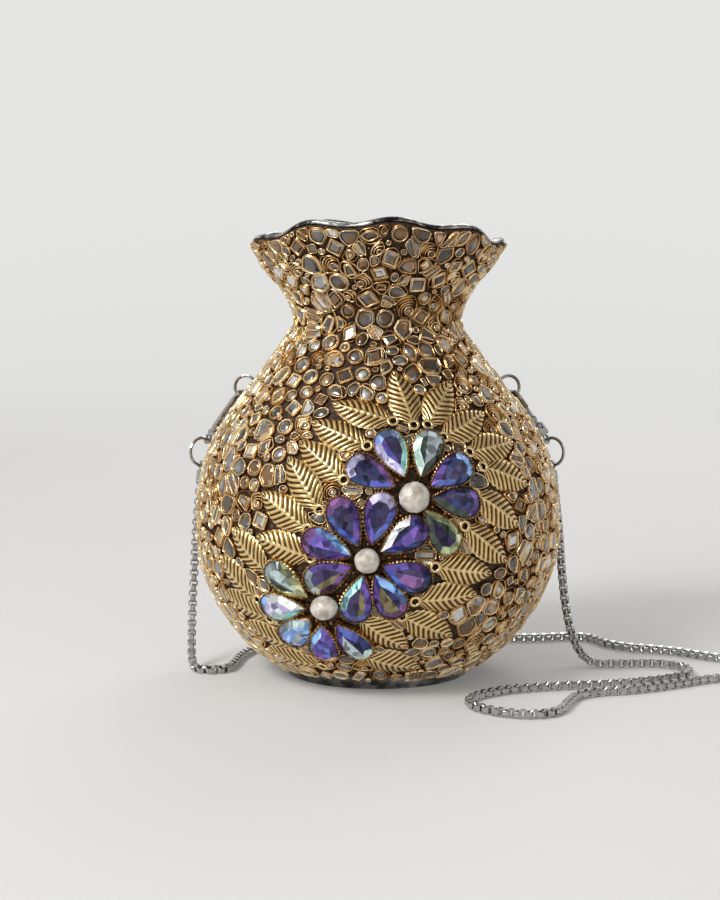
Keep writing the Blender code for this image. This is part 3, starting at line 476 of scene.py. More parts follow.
line = smooth_line(route, LINK_PITCH)
ways = np.gradient(line, axis=0)
ways /= np.linalg.norm(ways, axis=1)[:, None]
shape, link_faces = link_shape()
links = Pile()
side = np.array([0.0, 1.0, 0.0])
for number, (middle, way) in enumerate(zip(line, ways)):
    side = side - side.dot(way) * way
    side /= np.linalg.norm(side)
    other = np.cross(way, side)
    across, open_way = (side, other) if number % 2 else (other, -side)
    links.add(middle + shape @ np.array([way, across, open_way]), link_faces)
chain = links.piece("chain", link_steel, smooth=False)
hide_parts("chain_left", "chain_right", "chain_coil")

# %% [markdown]
# ## The wall
#
# Everything on the pot follows its wall, a turned surface. Its places are given by the angle around
# the pot, the run (the distance along the wall's section from the base) and the lift off the wall. In
# these coordinates a stone stays flat paper work: it is drawn in two dimensions and then bent on.

# %% The section of the wall
BASE_RADIUS = 0.0330
BELLY_RADIUS = 0.0660
BELLY_HEIGHT = 0.0520
BELLY_ROUNDNESS = 1.9
NECK_RADIUS = 0.0302
NECK_HEIGHT = 0.1275
MOUTH_RADIUS = 0.0462
MOUTH_HEIGHT = 0.1610
SHOULDER_CURVE = ((0, 1), (0.331, 0.908), (0.53, 0.70), (0.73, 0.385), (0.90, 0.117), (1, 0))
FLARE_CURVE = ((0, 0), (0.214, 0.116), (0.414, 0.335), (0.643, 0.659), (1, 1))
MOUTH_LOBES = 9
LOBE_CREST = math.radians(77)
LOBE_RISE = 0.0010
LOBE_OUT = 0.0009
SIDE_DIP = 0.0070
GROUND = -0.0015


def curve_value(points, share, end_slope):
    """The value at a share of the way along a smooth curve through the points."""
    slopes = [0.0]
    for before, after in zip(points, points[2:]):
        slopes.append((after[1] - before[1]) / (after[0] - before[0]))
    slopes.append(end_slope)
    index = max(i for i in range(len(points) - 1) if points[i][0] <= max(share, 0))
    (x0, y0), (x1, y1) = points[index], points[index + 1]
    width = x1 - x0
    t = (share - x0) / width
    value = (2 * t**3 - 3 * t**2 + 1) * y0 + (3 * t**2 - 2 * t**3) * y1
    value += (t**3 - 2 * t**2 + t) * width * slopes[index]
    return value + (t**3 - t**2) * width * slopes[index + 1]


def wall_radius(height):
    """The wall's radius over the stones, at a height."""
    if height <= BELLY_HEIGHT:
        fullness = (1 - (BASE_RADIUS / BELLY_RADIUS) ** BELLY_ROUNDNESS) ** (1 / BELLY_ROUNDNESS)
        drop = (BELLY_HEIGHT - height) / BELLY_HEIGHT * fullness
        return BELLY_RADIUS * (1 - min(drop, 1) ** BELLY_ROUNDNESS) ** (1 / BELLY_ROUNDNESS)
    if height <= NECK_HEIGHT:
        share = (height - BELLY_HEIGHT) / (NECK_HEIGHT - BELLY_HEIGHT)
        return NECK_RADIUS + (BELLY_RADIUS - NECK_RADIUS) * curve_value(SHOULDER_CURVE, share, 0)
    share = (height - NECK_HEIGHT) / (MOUTH_HEIGHT - NECK_HEIGHT)
    return NECK_RADIUS + (MOUTH_RADIUS - NECK_RADIUS) * curve_value(FLARE_CURVE, share, 1)


LEVELS = np.linspace(0, MOUTH_HEIGHT, 1611)
RADII = np.array([wall_radius(level) for level in LEVELS])
SLOPES = np.gradient(RADII, LEVELS)
RUNS = np.concatenate([[0], np.cumsum(np.hypot(np.diff(LEVELS), np.diff(RADII)))])


def run_at(height):
    return float(np.interp(height, LEVELS, RUNS))


def radius_at(run):
    return np.interp(run, RUNS, RADII)


def on_wall(places):
    """Points in space for rows of angle, run and lift, with the wavy mouth."""
    angle, run, lift = np.asarray(places, float).T
    level = np.interp(run, RUNS, LEVELS) + np.maximum(run - RUNS[-1], 0)
    radius, slope = np.interp(run, RUNS, RADII), np.interp(level, LEVELS, SLOPES)
    length = np.hypot(1, slope)
    share = np.clip((level - NECK_HEIGHT) / (MOUTH_HEIGHT - NECK_HEIGHT), 0, 1.1)
    lobe = np.cos(MOUTH_LOBES * (angle - LOBE_CREST))
    height = level - lift * slope / length
    height = height + share**1.5 * (LOBE_RISE * lobe - SIDE_DIP * np.abs(np.cos(angle)) ** 3)
    radius = (radius + lift / length) * (1 + share**2 * LOBE_OUT * lobe / MOUTH_RADIUS)
    return np.stack([radius * np.cos(angle), radius * np.sin(angle), height], axis=1)


def laid_at(angle, run, drawing):
    """Rows of x, y and lift, drawn flat around a place, as rows of angle, run and lift."""
    drawing = np.asarray(drawing, float)
    runs = run + drawing[:, 1]
    return np.stack([angle + drawing[:, 0] / radius_at(runs), runs, drawing[:, 2]], axis=1)


def frame_on_wall(angle, run, lift):
    """A placement with X around the pot, Y up the wall and Z out of it."""
    probe = [(angle, run, lift), (angle + 0.001, run, lift), (angle, run + 0.0001, lift)]
    middle, beside, above = (Vector(point) for point in on_wall(probe))
    x_axis = (beside - middle).normalized()
    z_axis = x_axis.cross(above - middle).normalized()
    placement = Matrix((x_axis, z_axis.cross(x_axis), z_axis)).transposed().to_4x4()
    placement.translation = middle
    return placement


print(f"the wall's section is {RUNS[-1] * 1000:.0f} mm long")

# %% [markdown]
# ## The pot and its lining
#
# Under the stones there is a pot of thin metal. It shows as the silver edge of the mouth and as the base.
# A turned surface is the natural way to make it: one section, repeated around the axis, finely enough
# that the nine waves of the mouth come out smooth. The black lining is turned in the same way.

# %% Turn the pot, the lacquer ground and the lining
AROUND = 216
SHELL_OUTSIDE = -0.0029
SHELL_INSIDE = -0.0041
LINING_INSIDE = -0.0052
SHELL_FLOOR = 0.0012
COAT_FOOT = run_at(0.004)
COAT_TOP = run_at(MOUTH_HEIGHT - 0.0006)


def turned(name, section, finish):
    """A surface turned from rows of run and lift, or of radius and height, as each is marked."""
    pile = Pile()
    angles = np.arange(AROUND) * math.tau / AROUND
    for kind, first, second in section:
        if kind == "wall":
            rows = np.stack([angles, np.full(AROUND, first), np.full(AROUND, second)], axis=1)
            pile.add(on_wall(rows), [])
        else:
            ring = np.stack([first * np.cos(angles), first * np.sin(angles), np.full(AROUND, second)], axis=1)
            pile.add(ring, [])
    pile.faces = rings_to_faces(len(section), AROUND)
    return pile.piece(name, finish)


wall_runs = np.linspace(COAT_FOOT, COAT_TOP, 70)
edge = RUNS[-1]
outside = [("wall", run, SHELL_OUTSIDE) for run in wall_runs]
brim = [("wall", edge - 0.0004, -0.0021), ("wall", edge, -0.0019), ("wall", edge + 0.0006, -0.0024)]
brim += [("wall", edge + 0.0007, -0.0034), ("wall", edge + 0.0002, -0.0043), ("wall", edge - 0.0009, -0.0044)]
inside = [("wall", run, SHELL_INSIDE) for run in wall_runs[::-3]]
sole = [("ring", 0.0005, SHELL_FLOOR / 2), ("ring", 0.0005, 0), ("ring", BASE_RADIUS, 0)]
pot = turned("pot", sole + outside + brim + inside, foil_edge)
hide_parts("pot_shell")

cloth = [("wall", run, LINING_INSIDE) for run in wall_runs[::-1]]
cloth += [("ring", BASE_RADIUS - 0.006, 0.0025), ("ring", 0.0005, 0.0025)]
lining = turned("velvet_lining", [("wall", edge - 0.0012, -0.0043)] + cloth, velvet)
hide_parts("lining")

coated = [("wall", run, GROUND) for run in np.linspace(COAT_FOOT, COAT_TOP, 110)]
section = [("wall", COAT_FOOT, SHELL_OUTSIDE), *coated, ("wall", COAT_TOP, SHELL_OUTSIDE)]
ground = turned("lacquer_ground", section, lacquer)
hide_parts("mosaic_coat")
print("turned the pot, the lining and the lacquer ground")

# %% [markdown]
# ## Where the flowers and leaves sit
#
# The flowers and leaves were set first, and the stones filled what was left. So their places come before
# the stones: each is given by its angle, its height and the way it points.

# %% Places of the flowers and leaves
PETAL_LENGTH = 0.0180
PETAL_WIDTH = 0.0104
SEAT = GROUND + 0.0003
FLOWERS = {
    "upper": (-79.9, 0.0726, 0.00510, 0.0152, (152, 111, 68, 27, -10, -53)),
    "middle": (-93.5, 0.0514, 0.00410, 0.0141, (119, 75, 31, -22, -62, -103, -156, 163)),
    "lower": (-107.0, 0.0340, 0.00455, 0.0158, (146, 184, 222, 260, 298)),
}
LEAF_LENGTH = 0.0212
LEAF_WIDTH = 0.0112
LEAVES = (
    (-97.0, 0.0990, 163), (-104.7, 0.0922, 158), (-109.4, 0.0839, 144), (-114.2, 0.0764, 128),
    (-120.0, 0.0667, 150), (-120.0, 0.0545, 165), (-133.0, 0.0520, 141), (-139.5, 0.0415, 141),
    (-79.9, 0.1040, 102), (-63.9, 0.1020, 50), (-56.0, 0.0945, 22), (-47.5, 0.0865, 5),
    (-45.0, 0.0765, -22), (-51.0, 0.0655, -35), (-56.0, 0.0545, -38), (-63.5, 0.0465, -10),
    (-68.5, 0.0375, 4), (-73.0, 0.0265, -27), (-87.8, 0.0240, -39), (-84.0, 0.0125, -20),
    (-139.1, 0.0313, 159), (-133.3, 0.0209, 157), (-128.2, 0.0125, 164),
)
# Discs that cover a petal or a leaf: a share of its half length, and a share of its half width
PETAL_SPOTS = ((-0.75, 0.25), (-0.35, 0.6), (0.05, 0.85), (0.5, 0.95))
LEAF_SPOTS = ((-0.95, 0.3), (-0.6, 0.7), (-0.2, 0.9), (0.2, 0.85), (0.6, 0.6), (0.9, 0.25))


def moved_along(angle, run, way, reach):
    """The place on the wall that lies this far from another, in a direction."""
    up = run + reach * math.sin(way)
    return angle + reach * math.cos(way) / float(radius_at(up)), up


def petal_places():
    """Name, angle, run and turn of each petal."""
    places = []
    for flower, (azimuth, height, _, distance, turns) in FLOWERS.items():
        for number, turn in enumerate(turns, 1):
            way = math.radians(turn)
            place = moved_along(math.radians(azimuth), run_at(height), way, distance)
            places.append((f"petal_{flower}_{number}", *place, way))
    return places


def kept_clear():
    """Angle, run and radius of discs that cover the flowers and the leaves."""
    discs = [(math.radians(azimuth), run_at(height), radius)
             for azimuth, height, radius, *_ in FLOWERS.values()]

    def cover(angle, run, way, length, width, spots):
        for along, across in spots:
            discs.append((*moved_along(angle, run, way, along * length / 2), across * width / 2))

    for _, angle, run, way in petal_places():
        cover(angle, run, way, PETAL_LENGTH, PETAL_WIDTH, PETAL_SPOTS)
    for azimuth, height, turn in LEAVES:
        place = (math.radians(azimuth), run_at(height), math.radians(turn))
        cover(*place, LEAF_LENGTH, LEAF_WIDTH, LEAF_SPOTS)
    return np.array(discs)


clear = kept_clear()
print(len(clear), "discs are kept clear of stones")

# %% [markdown]
# ## Filling the wall with stones
#
# The maker glues large stones first and fills the gaps with smaller ones. The same rule works here: throw
# places at random, keep those that are free, and shrink the size each round. Then every stone gets its cell,
# the part of the wall that is nearer to it than to the others, counted from their edges. The cell is a
# polygon, and it says which cut fits and how large it can be.

# %% Scatter the stones and find their cells
SEED = 7
ROUNDS = ((0.0036, 900), (0.0031, 6000), (0.0026, 14000), (0.0021, 14000), (0.0016, 8000), (0.0011, 2200))
SQUEEZE = 0.0005
CELL_REACH = 0.013
rng = random.Random(SEED)


def scattered():
    """Rows of angle, run and radius: first what is kept clear, then the stones."""
    rows = np.zeros((len(clear) + 4000, 3))
    spots = np.zeros((len(rows), 3))
    count = len(clear)
    rows[:count] = clear
    spots[:count] = on_wall(np.column_stack([clear[:, :2], np.zeros(count)]))
    for radius, tries in ROUNDS:
        angles = [rng.uniform(-math.pi, math.pi) for _ in range(tries)]
        runs = [rng.uniform(COAT_FOOT + radius * 0.7, COAT_TOP - radius * 0.8) for _ in range(tries)]
        tried = on_wall(np.column_stack([angles, runs, np.zeros(tries)]))
        chances = radius_at(runs) / BELLY_RADIUS
        for angle, run, spot, chance in zip(angles, runs, tried, chances):
            near = np.linalg.norm(spots[:count] - spot, axis=1) - rows[:count, 2]
            if rng.random() < chance and near.min() > radius - SQUEEZE:
                rows[count], spots[count] = (angle, run, radius), spot
                count += 1
    return rows[:count], spots[:count]


def clipped(polygon, normal, reach):
    """The part of a convex polygon that lies within reach along the normal."""
    kept = []
    for a, b in zip(polygon, polygon[1:] + polygon[:1]):
        over_a = a[0] * normal[0] + a[1] * normal[1] - reach
        over_b = b[0] * normal[0] + b[1] * normal[1] - reach
        if over_a <= 0:
            kept.append(a)
        if (over_a < 0 < over_b) or (over_b < 0 < over_a):
            t = over_a / (over_a - over_b)
            kept.append((a[0] + t * (b[0] - a[0]), a[1] + t * (b[1] - a[1])))
    return kept


def cell_of(index, rows, spots):
    """The polygon around a stone, in x around the pot and y up the wall."""
    angle, run, radius = rows[index]
    wide = 0.008
    cell = [(-wide, -wide), (wide, -wide), (wide, wide), (-wide, wide)]
    cell = clipped(cell, (0, 1), COAT_TOP - run)
    cell = clipped(cell, (0, -1), run - COAT_FOOT)
    far = np.linalg.norm(spots - spots[index], axis=1)
    for other in np.argsort(far)[1:24]:
        if far[other] > CELL_REACH:
            break
        x = math.remainder(rows[other, 0] - angle, math.tau) * float(radius_at((run + rows[other, 1]) / 2))
        y = rows[other, 1] - run
        distance = math.hypot(x, y)
        reach = (distance**2 + radius**2 - rows[other, 2] ** 2) / (2 * distance)
        cell = clipped(cell, (x / distance, y / distance), reach)
    return cell


rows, spots = scattered()
cells = [cell_of(i, rows, spots) for i in range(len(clear), len(rows))]
stones = rows[len(clear):]
print(len(stones), "stones, of", [int((stones[:, 2] == size).sum()) for size, _ in ROUNDS])

# %% [markdown]
# ## Cutting the stones
#
# A setting is a little cup: a gold wall around the stone, with a bright lip. Every cut is an outline,
# scaled until it touches the sides of its cell. The lip, the inner wall and the bevel of the stone are the
# same outline, drawn further in. Some cells get nested arcs of gold instead, like small rainbows, and
# some get a row of long stones side by side.

# %% Outlines
GAP = 0.00010


def round_outline(count, taper=1.0, point=0.0):
    """An ellipse; with a point it narrows towards -X, as a drop does."""
    outline = []
    for i in range(count):
        angle = math.tau * i / count
        narrow = 1 - point + point * math.sqrt(max(math.cos(angle / 2) ** 2, 0)) * 1.3
        outline.append((math.cos(angle), taper * math.sin(angle) * narrow))
    return np.array(outline)


def pointed_oval(count, width):
    """Two shallow arcs that meet in points."""
    across = np.linspace(1, -1, count)
    upper = [(x, width * (1 - x * x)) for x in across]
    return np.array(upper + [(-x, -y) for x, y in upper[1:-1]])


def cut_corners(corners, cut):
    """A polygon with each corner cut off."""
    corners, outline = np.array(corners, float), []
    for before, corner, after in zip(np.roll(corners, 1, 0), corners, np.roll(corners, -1, 0)):
        outline += [corner + cut * (before - corner), corner + cut * (after - corner)]
    return np.array(outline)


def box_outline(width, other_width, cut=0.1):
    """A box across X, which may be narrower at one end."""
    return cut_corners([(1, width), (-1, other_width), (-1, -other_width), (1, -width)], cut)


ROUND = round_outline(14)
SMALL_ROUND = round_outline(10)
# What each kind of cell may take, with its share and its outline; None is the cell's own outline
COMPACT = {
    "round": (0.30, ROUND),
    "cell": (0.34, None),
    "square": (0.14, box_outline(1, 1, 0.08)),
    "drop": (0.10, round_outline(14, 0.74, 1.0)),
    "wedge": (0.08, box_outline(0.9, 0.5)),
    "rhombus": (0.08, cut_corners([(1.1, 0), (0, 0.9), (-1.1, 0), (0, -0.9)], 0.1)),
}
LONG = {
    "oval": (0.30, round_outline(14, 0.74)),
    "pointed": (0.28, pointed_oval(7, 0.60)),
    "drop": (0.12, round_outline(14, 0.64, 1.0)),
    "cell": (0.34, None),
    "box": (0.10, box_outline(0.5, 0.5, 0.06)),
}


def inset(outline, width):
    """A convex outline drawn further in by the width."""
    sides = np.roll(outline, -1, 0) - outline
    sides /= np.maximum(np.linalg.norm(sides, axis=1), 1e-9)[:, None]
    normals = np.stack([-sides[:, 1], sides[:, 0]], axis=1)
    before = np.roll(normals, 1, 0)
    share = 1 + (normals * before).sum(1)
    return outline + width * (normals + before) / np.maximum(share, 0.6)[:, None]


def shrunk(cell, width):
    """The part of a cell that lies further in by the width, as a polygon."""
    points = list(map(tuple, cell))
    for a, b in zip(points, points[1:] + points[:1]):
        length = math.hypot(b[0] - a[0], b[1] - a[1])
        if length > 1e-6 and len(cell) >= 3:
            normal = ((b[1] - a[1]) / length, (a[0] - b[0]) / length)
            cell = clipped(cell, normal, a[0] * normal[0] + a[1] * normal[1] - width)
    return tidied(cell)


def tidied(cell, least=0.0003):
    """A polygon without its shortest sides."""
    kept = []
    for point in cell:
        if not kept or math.dist(point, kept[-1]) > least:
            kept.append(tuple(point))
    if len(kept) > 1 and math.dist(kept[0], kept[-1]) <= least:
        kept.pop()
    return kept


def middle_of(cell):
    """Centre of a polygon, and the direction in which it is longest."""
    points = np.array(cell)
    after = np.roll(points, -1, 0)
    cross = points[:, 0] * after[:, 1] - after[:, 0] * points[:, 1]
    centre = ((points + after) * cross[:, None]).sum(0) / (3 * cross.sum())
    spread = np.cov((points - centre).T)
    long_way = np.linalg.eigh(spread)[1][:, 1]
    return centre, math.atan2(long_way[1], long_way[0])


def fitted(outline, cell, centre, turn, gap=GAP):
    """The outline, turned and scaled until it touches a side of the cell."""
    cosine, sine = math.cos(turn), math.sin(turn)
    shape = outline @ np.array([(cosine, sine), (-sine, cosine)])
    points = np.array(cell)
    sides = np.roll(points, -1, 0) - points
    lengths = np.linalg.norm(sides, axis=1)
    normals = np.stack([sides[:, 1], -sides[:, 0]], axis=1) / lengths[:, None]
    room = ((points - centre) * normals).sum(1) - gap
    size = (room / (shape @ normals.T).max(0)).min()
    return centre + shape * size, size


def slimness(cell, centre, way):
    """How wide a cell is across a direction, as a share of its length."""
    turn = np.array([(math.cos(way), -math.sin(way)), (math.sin(way), math.cos(way))])
    length, width = np.ptp((np.array(cell) - centre) @ turn, axis=0)
    return width / length


print("cuts for compact cells:", ", ".join(COMPACT), "and for long ones:", ", ".join(LONG))

# %% [markdown]
# ## Wires, cups and stones
#
# Three things are built on an outline. A wire is a low ridge along it. A cup is a thin wall with a rounded
# rim and deep sides, and a stone lies inside the cup, lower than its rim. A domed stone is smooth and
# a cut one has flat facets, so the two kinds go into meshes of their own.

# %% Build on an outline
RIM = 0.00029
STONE_DROP = 0.00045
WIRE_WIDTH = 0.00026
FOOT = GROUND - 0.0002
DOME_LEAN = 0.15
CUT_TILT = 0.09
CUT_TABLE = 0.62
CUT_RISE = 0.0003


def stacked(levels):
    """Rows of x, y and lift from pairs of outline and lift."""
    return np.concatenate([np.column_stack([outline, np.full(len(outline), lift)]) for outline, lift in levels])


def closed_wire(place, outline, top, gold):
    """A thin wire that runs once around."""
    feet = (outline, *(inset(outline, WIRE_WIDTH * share) for share in (0.3, 0.7, 1)))
    rows = stacked(zip(feet, (FOOT, top, top, FOOT)))
    gold.add(laid_at(*place, rows), rings_to_faces(4, len(outline)))


def open_wire(place, path, top, gold, width):
    """A thin wire along a path, lower at its ends."""
    path = np.array(path)
    ways = np.gradient(path, axis=0)
    lengths = np.maximum(np.linalg.norm(ways, axis=1), 1e-9)[:, None]
    sides = np.stack([-ways[:, 1], ways[:, 0]], axis=1) / lengths
    ends = np.sin(np.pi * np.linspace(0.06, 0.94, len(path))) ** 0.4
    rows = []
    for offset, share in ((-0.5, 0), (-0.22, 1), (0.22, 1), (0.5, 0)):
        lift = FOOT + (top - GROUND) * ends * share
        rows.append(np.column_stack([path + sides * width * offset * 1.6, lift]))
    faces = rings_to_faces(4, len(path), whole=False)
    gold.add(laid_at(*place, np.concatenate(rows)), [face[::-1] for face in faces])


def cup(place, outline, top, gold):
    """A thin wall around the outline with a rounded rim and deep sides; returns its inside."""
    inside = inset(outline, RIM * 1.15)
    rim = (inset(outline, RIM * share) for share in (0.15, 0.4, 0.8))
    lifts = (FOOT, top - 0.00012, top, top - 0.00003, top - 0.0008)
    rows = stacked(zip((outline, *rim, inside), lifts))
    gold.add(laid_at(*place, rows), rings_to_faces(5, len(outline)))
    return inside


def domed_stone(place, inside, top, tone, domes):
    """A smooth stone over foil, with a painted shade on its edge and a painted highlight in a bright crescent.
    """
    middle, count = inside.mean(0), len(inside)
    lean = np.array([rng.uniform(-DOME_LEAN, DOME_LEAN) for _ in range(2)]) * np.ptp(inside, axis=0)
    base = top - STONE_DROP
    rings = [(inside, base - 0.00015), (middle + (inside - middle) * 0.80, base + 0.00014)]
    rings += [(middle + lean * 0.4 + (inside - middle) * 0.55, base + 0.00034)]
    rows = np.concatenate([stacked(rings), [(*(middle + lean * 0.5), base + 0.00042)]])
    around = np.arctan2(*(inside - middle).T[::-1])
    crescent = np.maximum(np.cos(around - rng.uniform(0, math.tau)), 0) ** 2
    # The edge ring is painted shade, the next ring adds a painted highlight in a crescent, and the top keeps
    # the stone's tone
    marks = [0.0] * count + list(tone * 0.4 + 0.75 * crescent) + [tone * 0.75] * count + [tone]
    domes.add(laid_at(*place, rows), capped(3, count), marks)


def cut_stone(place, inside, top, tone, cuts):
    """A stone with a flat table and a facet for each side."""
    middle, count = inside.mean(0), len(inside)
    base = top - STONE_DROP
    table = middle + (inside - middle) * CUT_TABLE
    rows = stacked([(inside, base - 0.0001), (table, base + CUT_RISE)])
    tilt = np.array([rng.uniform(-CUT_TILT, CUT_TILT) for _ in range(2)])
    rows[count:, 2] += (rows[count:, :2] - middle) @ tilt
    marks = [tone + rng.uniform(-0.45, 0.35) for _ in range(count)] + [tone]
    cuts.add(laid_at(*place, rows), rings_to_faces(2, count) + [tuple(range(count, 2 * count))], marks)


print("a cup is", RIM * 1000, "mm thick at its rim")

# %% [markdown]
# ## Setting every stone
#
# Many cells are first ringed by a thin wire, so that they meet wire to wire, as on the real bag. Inside
# comes a cup with its stone. Some cells take a row of long stones and some take nested arcs over a small
# stone. The smallest cells, and those between the petals, take a gold grain.

# %% Set every stone
TONES = (0.2, 0.35, 0.45, 0.55, 0.7, 1.0)
BAR_PITCH = 0.0026
ARC_PITCH = 0.00092
ARC_WIDTH = 0.00042
ARC_SHARE = 0.15
BAR_SHARE = 0.10
RING_STEP = 0.00040
NEAR_FLOWER = 0.0135


def strip_of(cell, way, middle, half):
    """The part of a cell within a half width of a line through the middle."""
    normal = (-math.sin(way), math.cos(way))
    along = middle[0] * normal[0] + middle[1] * normal[1]
    part = clipped(cell, normal, along + half)
    return tidied(clipped(part, (-normal[0], -normal[1]), half - along)) if len(part) > 2 else []


def bars_in(place, cell, centre, way, top, gold, cuts):
    """A row of long stones side by side."""
    normal = np.array([-math.sin(way), math.cos(way)])
    reach = np.abs((np.array(cell) - centre) @ normal).max()
    count = max(2, round(2 * reach / BAR_PITCH))
    half = reach / count
    for i in range(count):
        bar = strip_of(cell, way, centre + normal * (2 * i + 1 - count) * half, half - GAP / 2)
        if len(bar) > 2 and fitted(SMALL_ROUND, bar, middle_of(bar)[0], 0)[1] > 0.0006:
            outline = cut_corners(bar, 0.12)
            cut_stone(place, cup(place, outline, top, gold), top, rng.choice(TONES), cuts)


def arcs_in(place, cell, centre, room, way, top, gold, domes):
    """Nested arcs of wire over a small stone."""
    towards = np.array([math.cos(way), math.sin(way)])
    foot = centre - towards * room * 0.6
    outline = foot + towards * room * 0.1 + ROUND * room * 0.5
    domed_stone(place, cup(place, outline, top, gold), top, rng.choice(TONES), domes)
    points = np.array(cell)
    sides = np.roll(points, -1, 0) - points
    normals = np.stack([sides[:, 1], -sides[:, 0]], axis=1) / np.linalg.norm(sides, axis=1)[:, None]
    radius = room * 0.5 + ARC_PITCH
    while radius < room * 2.4:
        turns = np.linspace(way - 1.9, way + 1.9, 26)
        arc = foot + radius * np.stack([np.cos(turns), np.sin(turns)], axis=1)
        inside = (((arc[:, None] - points) * normals).sum(2) < -0.0002).all(1)
        runs = np.flatnonzero(inside)
        if len(runs) >= 4:
            open_wire(place, arc[runs[0]:runs[-1] + 1], top - rng.uniform(0, 0.0002), gold, ARC_WIDTH)
        radius += ARC_PITCH


def ringed(place, outline, rings, top, gold):
    """Wires one inside the other along an outline; returns the outline that is left."""
    for _ in range(rings):
        closed_wire(place, outline, top - rng.uniform(0.0001, 0.0004), gold)
        outline = inset(outline, RING_STEP)
    return outline


def near_flower(angle, run):
    """Whether a place lies inside the ring of petals of a flower."""
    for azimuth, height, *_ in FLOWERS.values():
        x = (angle - math.radians(azimuth)) * float(radius_at(run))
        if math.hypot(x, run - run_at(height)) < NEAR_FLOWER:
            return True
    return False


def grain(place, centre, room, gold):
    """A small rounded grain of gold."""
    outline = SMALL_ROUND[::2] * room * 0.85 + centre
    rows = stacked([(outline, FOOT), (centre + (outline - centre) * 0.75, -0.0008)])
    rows = np.concatenate([rows, [(*centre, -0.0005)]])
    gold.add(laid_at(*place, rows), capped(2, len(outline)))


golds = {"lower": Pile(), "middle": Pile(), "upper": Pile()}
domes, cuts = Pile(), Pile()
flat_kinds = {"square", "rhombus", "wedge", "box"}
for (angle, run, radius), cell in zip(stones, cells):
    cell = shrunk(cell, GAP)
    if len(cell) < 3:
        continue
    centre, long_way = middle_of(cell)
    room = fitted(SMALL_ROUND, cell, centre, 0, 0)[1]
    place = (float(angle), float(run))
    share = run / RUNS[-1]
    gold = golds["lower" if share < 0.3 else "middle" if share < 0.58 else "upper"]
    top = rng.uniform(-0.0003, 0.0003)
    tone = rng.choice(TONES)
    if room < 0.0009 or near_flower(*place):
        grain(place, centre, min(max(room, 0.0005), 0.0011), gold)
        continue
    pick = rng.random()
    if room > 0.0019 and pick < ARC_SHARE:
        closed_wire(place, cut_corners(cell, 0.2), top - 0.0003, gold)
        arcs_in(place, cell, centre, room, math.pi / 2 + rng.uniform(-1.2, 1.2), top, gold, domes)
        continue
    if room > 0.0017 and pick < ARC_SHARE + BAR_SHARE:
        bars_in(place, cell, centre, long_way, top, gold, cuts)
        continue
    table = COMPACT if slimness(cell, centre, long_way) > 0.8 else LONG
    kind = rng.choices(list(table), [weight for weight, _ in table.values()])[0]
    rings = 1 if room > 0.0030 else rng.choice((0, 0, 1)) if room > 0.0021 else 0
    if room < 0.0014:
        outline, _ = fitted(SMALL_ROUND, cell, centre, 0)
    elif kind == "cell":
        outline = ringed(place, cut_corners(cell, 0.2), rings, top, gold)
    else:
        turn = long_way + rng.uniform(-0.2, 0.2) + rng.choice((0, math.pi))
        outline, _ = fitted(table[kind][1], cell, centre, turn)
        outline = ringed(place, outline, rings, top, gold)
        if kind in ("pointed", "drop", "rhombus", "wedge"):
            closed_wire(place, cut_corners(cell, 0.2), top - rng.uniform(0.0002, 0.0005), gold)
    inside = cup(place, outline, top, gold)
    if kind in flat_kinds or room < 0.0014 or (kind == "cell" and rng.random() < 0.5):
        cut_stone(place, inside, top, tone, cuts)
    else:
        domed_stone(place, inside, top, tone, domes)
for name, gold in golds.items():
    gold.piece(f"settings_{name}", wire_gold, on_wall, "hollow")
domes.piece("domed_stones", foiled, on_wall, "cut")
cuts.piece("cut_stones", foiled, on_wall, "cut", smooth=False)
print("faces:", {name: len(p.faces) for name, p in {**golds, "domed": domes, "cut": cuts}.items()})

# %% [markdown]
# ## The leaves
#
# Each leaf is pressed from thin sheet: a raised rib down its middle, slanting veins, a finely notched edge
# and a loop at its base. A fine grid is cut to the leaf's outline, and the veins are a wave that
# slants away from the rib. How deep each point lies is kept in the mesh, so that the finish can
# darken the hollows, partly as the real lacquer does and partly as painted shade.

# %% Press the leaves
LEAF_ALONG = 90
LEAF_ACROSS = 22
LEAF_VEINS = 9.5
VEIN_SLANT = 2.3
VEIN_DEPTH = 0.00042
LEAF_DOME = 0.0011
RIB_RISE = 0.00016
EDGE_NOTCH = 0.03
EDGE_CURL = 0.0006
LOOP_RADIUS = 0.00155
LOOP_WIRE = 0.00056


def leaf_drawing(roll, rise):
    """Rows of x, y, lift and hollow, with the tip at +X, and the grid's faces."""
    rows = []
    for i in range(LEAF_ALONG + 1):
        along = i / LEAF_ALONG
        width = LEAF_WIDTH / 2 * math.sin(math.pi * (0.03 + 0.965 * along) ** 0.86) ** 0.72
        for j in range(LEAF_ACROSS + 1):
            across = 2 * j / LEAF_ACROSS - 1
            aside = abs(across)
            vein = along * LEAF_VEINS - VEIN_SLANT * aside ** 1.25 * (1 - 0.3 * along)
            wave = (0.5 + 0.5 * math.cos(math.tau * vein)) ** 0.75
            tooth = 1 + EDGE_NOTCH * (2 * wave - 1) * aside ** 4
            rib = max(0, 1 - aside / 0.08)
            border = min(max((aside - 0.88) / 0.06, 0), 1)
            # How deep each point lies in a groove; the finish paints this darker, partly as antique finish and
            # partly as painted shade
            depth = (1 - wave) * min(aside * 8, 1) * (1 - 0.8 * border)
            dome = LEAF_DOME * (1 - across * across) * (width / LEAF_WIDTH * 2)
            lift = dome + VEIN_DEPTH * (1 - depth) + RIB_RISE * rib + roll * width * across + rise * along
            curl = -EDGE_CURL * aside ** 6
            rows.append((LEAF_LENGTH * (along - 0.5), width * across * tooth, lift + curl - 0.0008, depth))
    return np.array(rows), flipped(rings_to_faces(LEAF_ALONG + 1, LEAF_ACROSS + 1, whole=False))


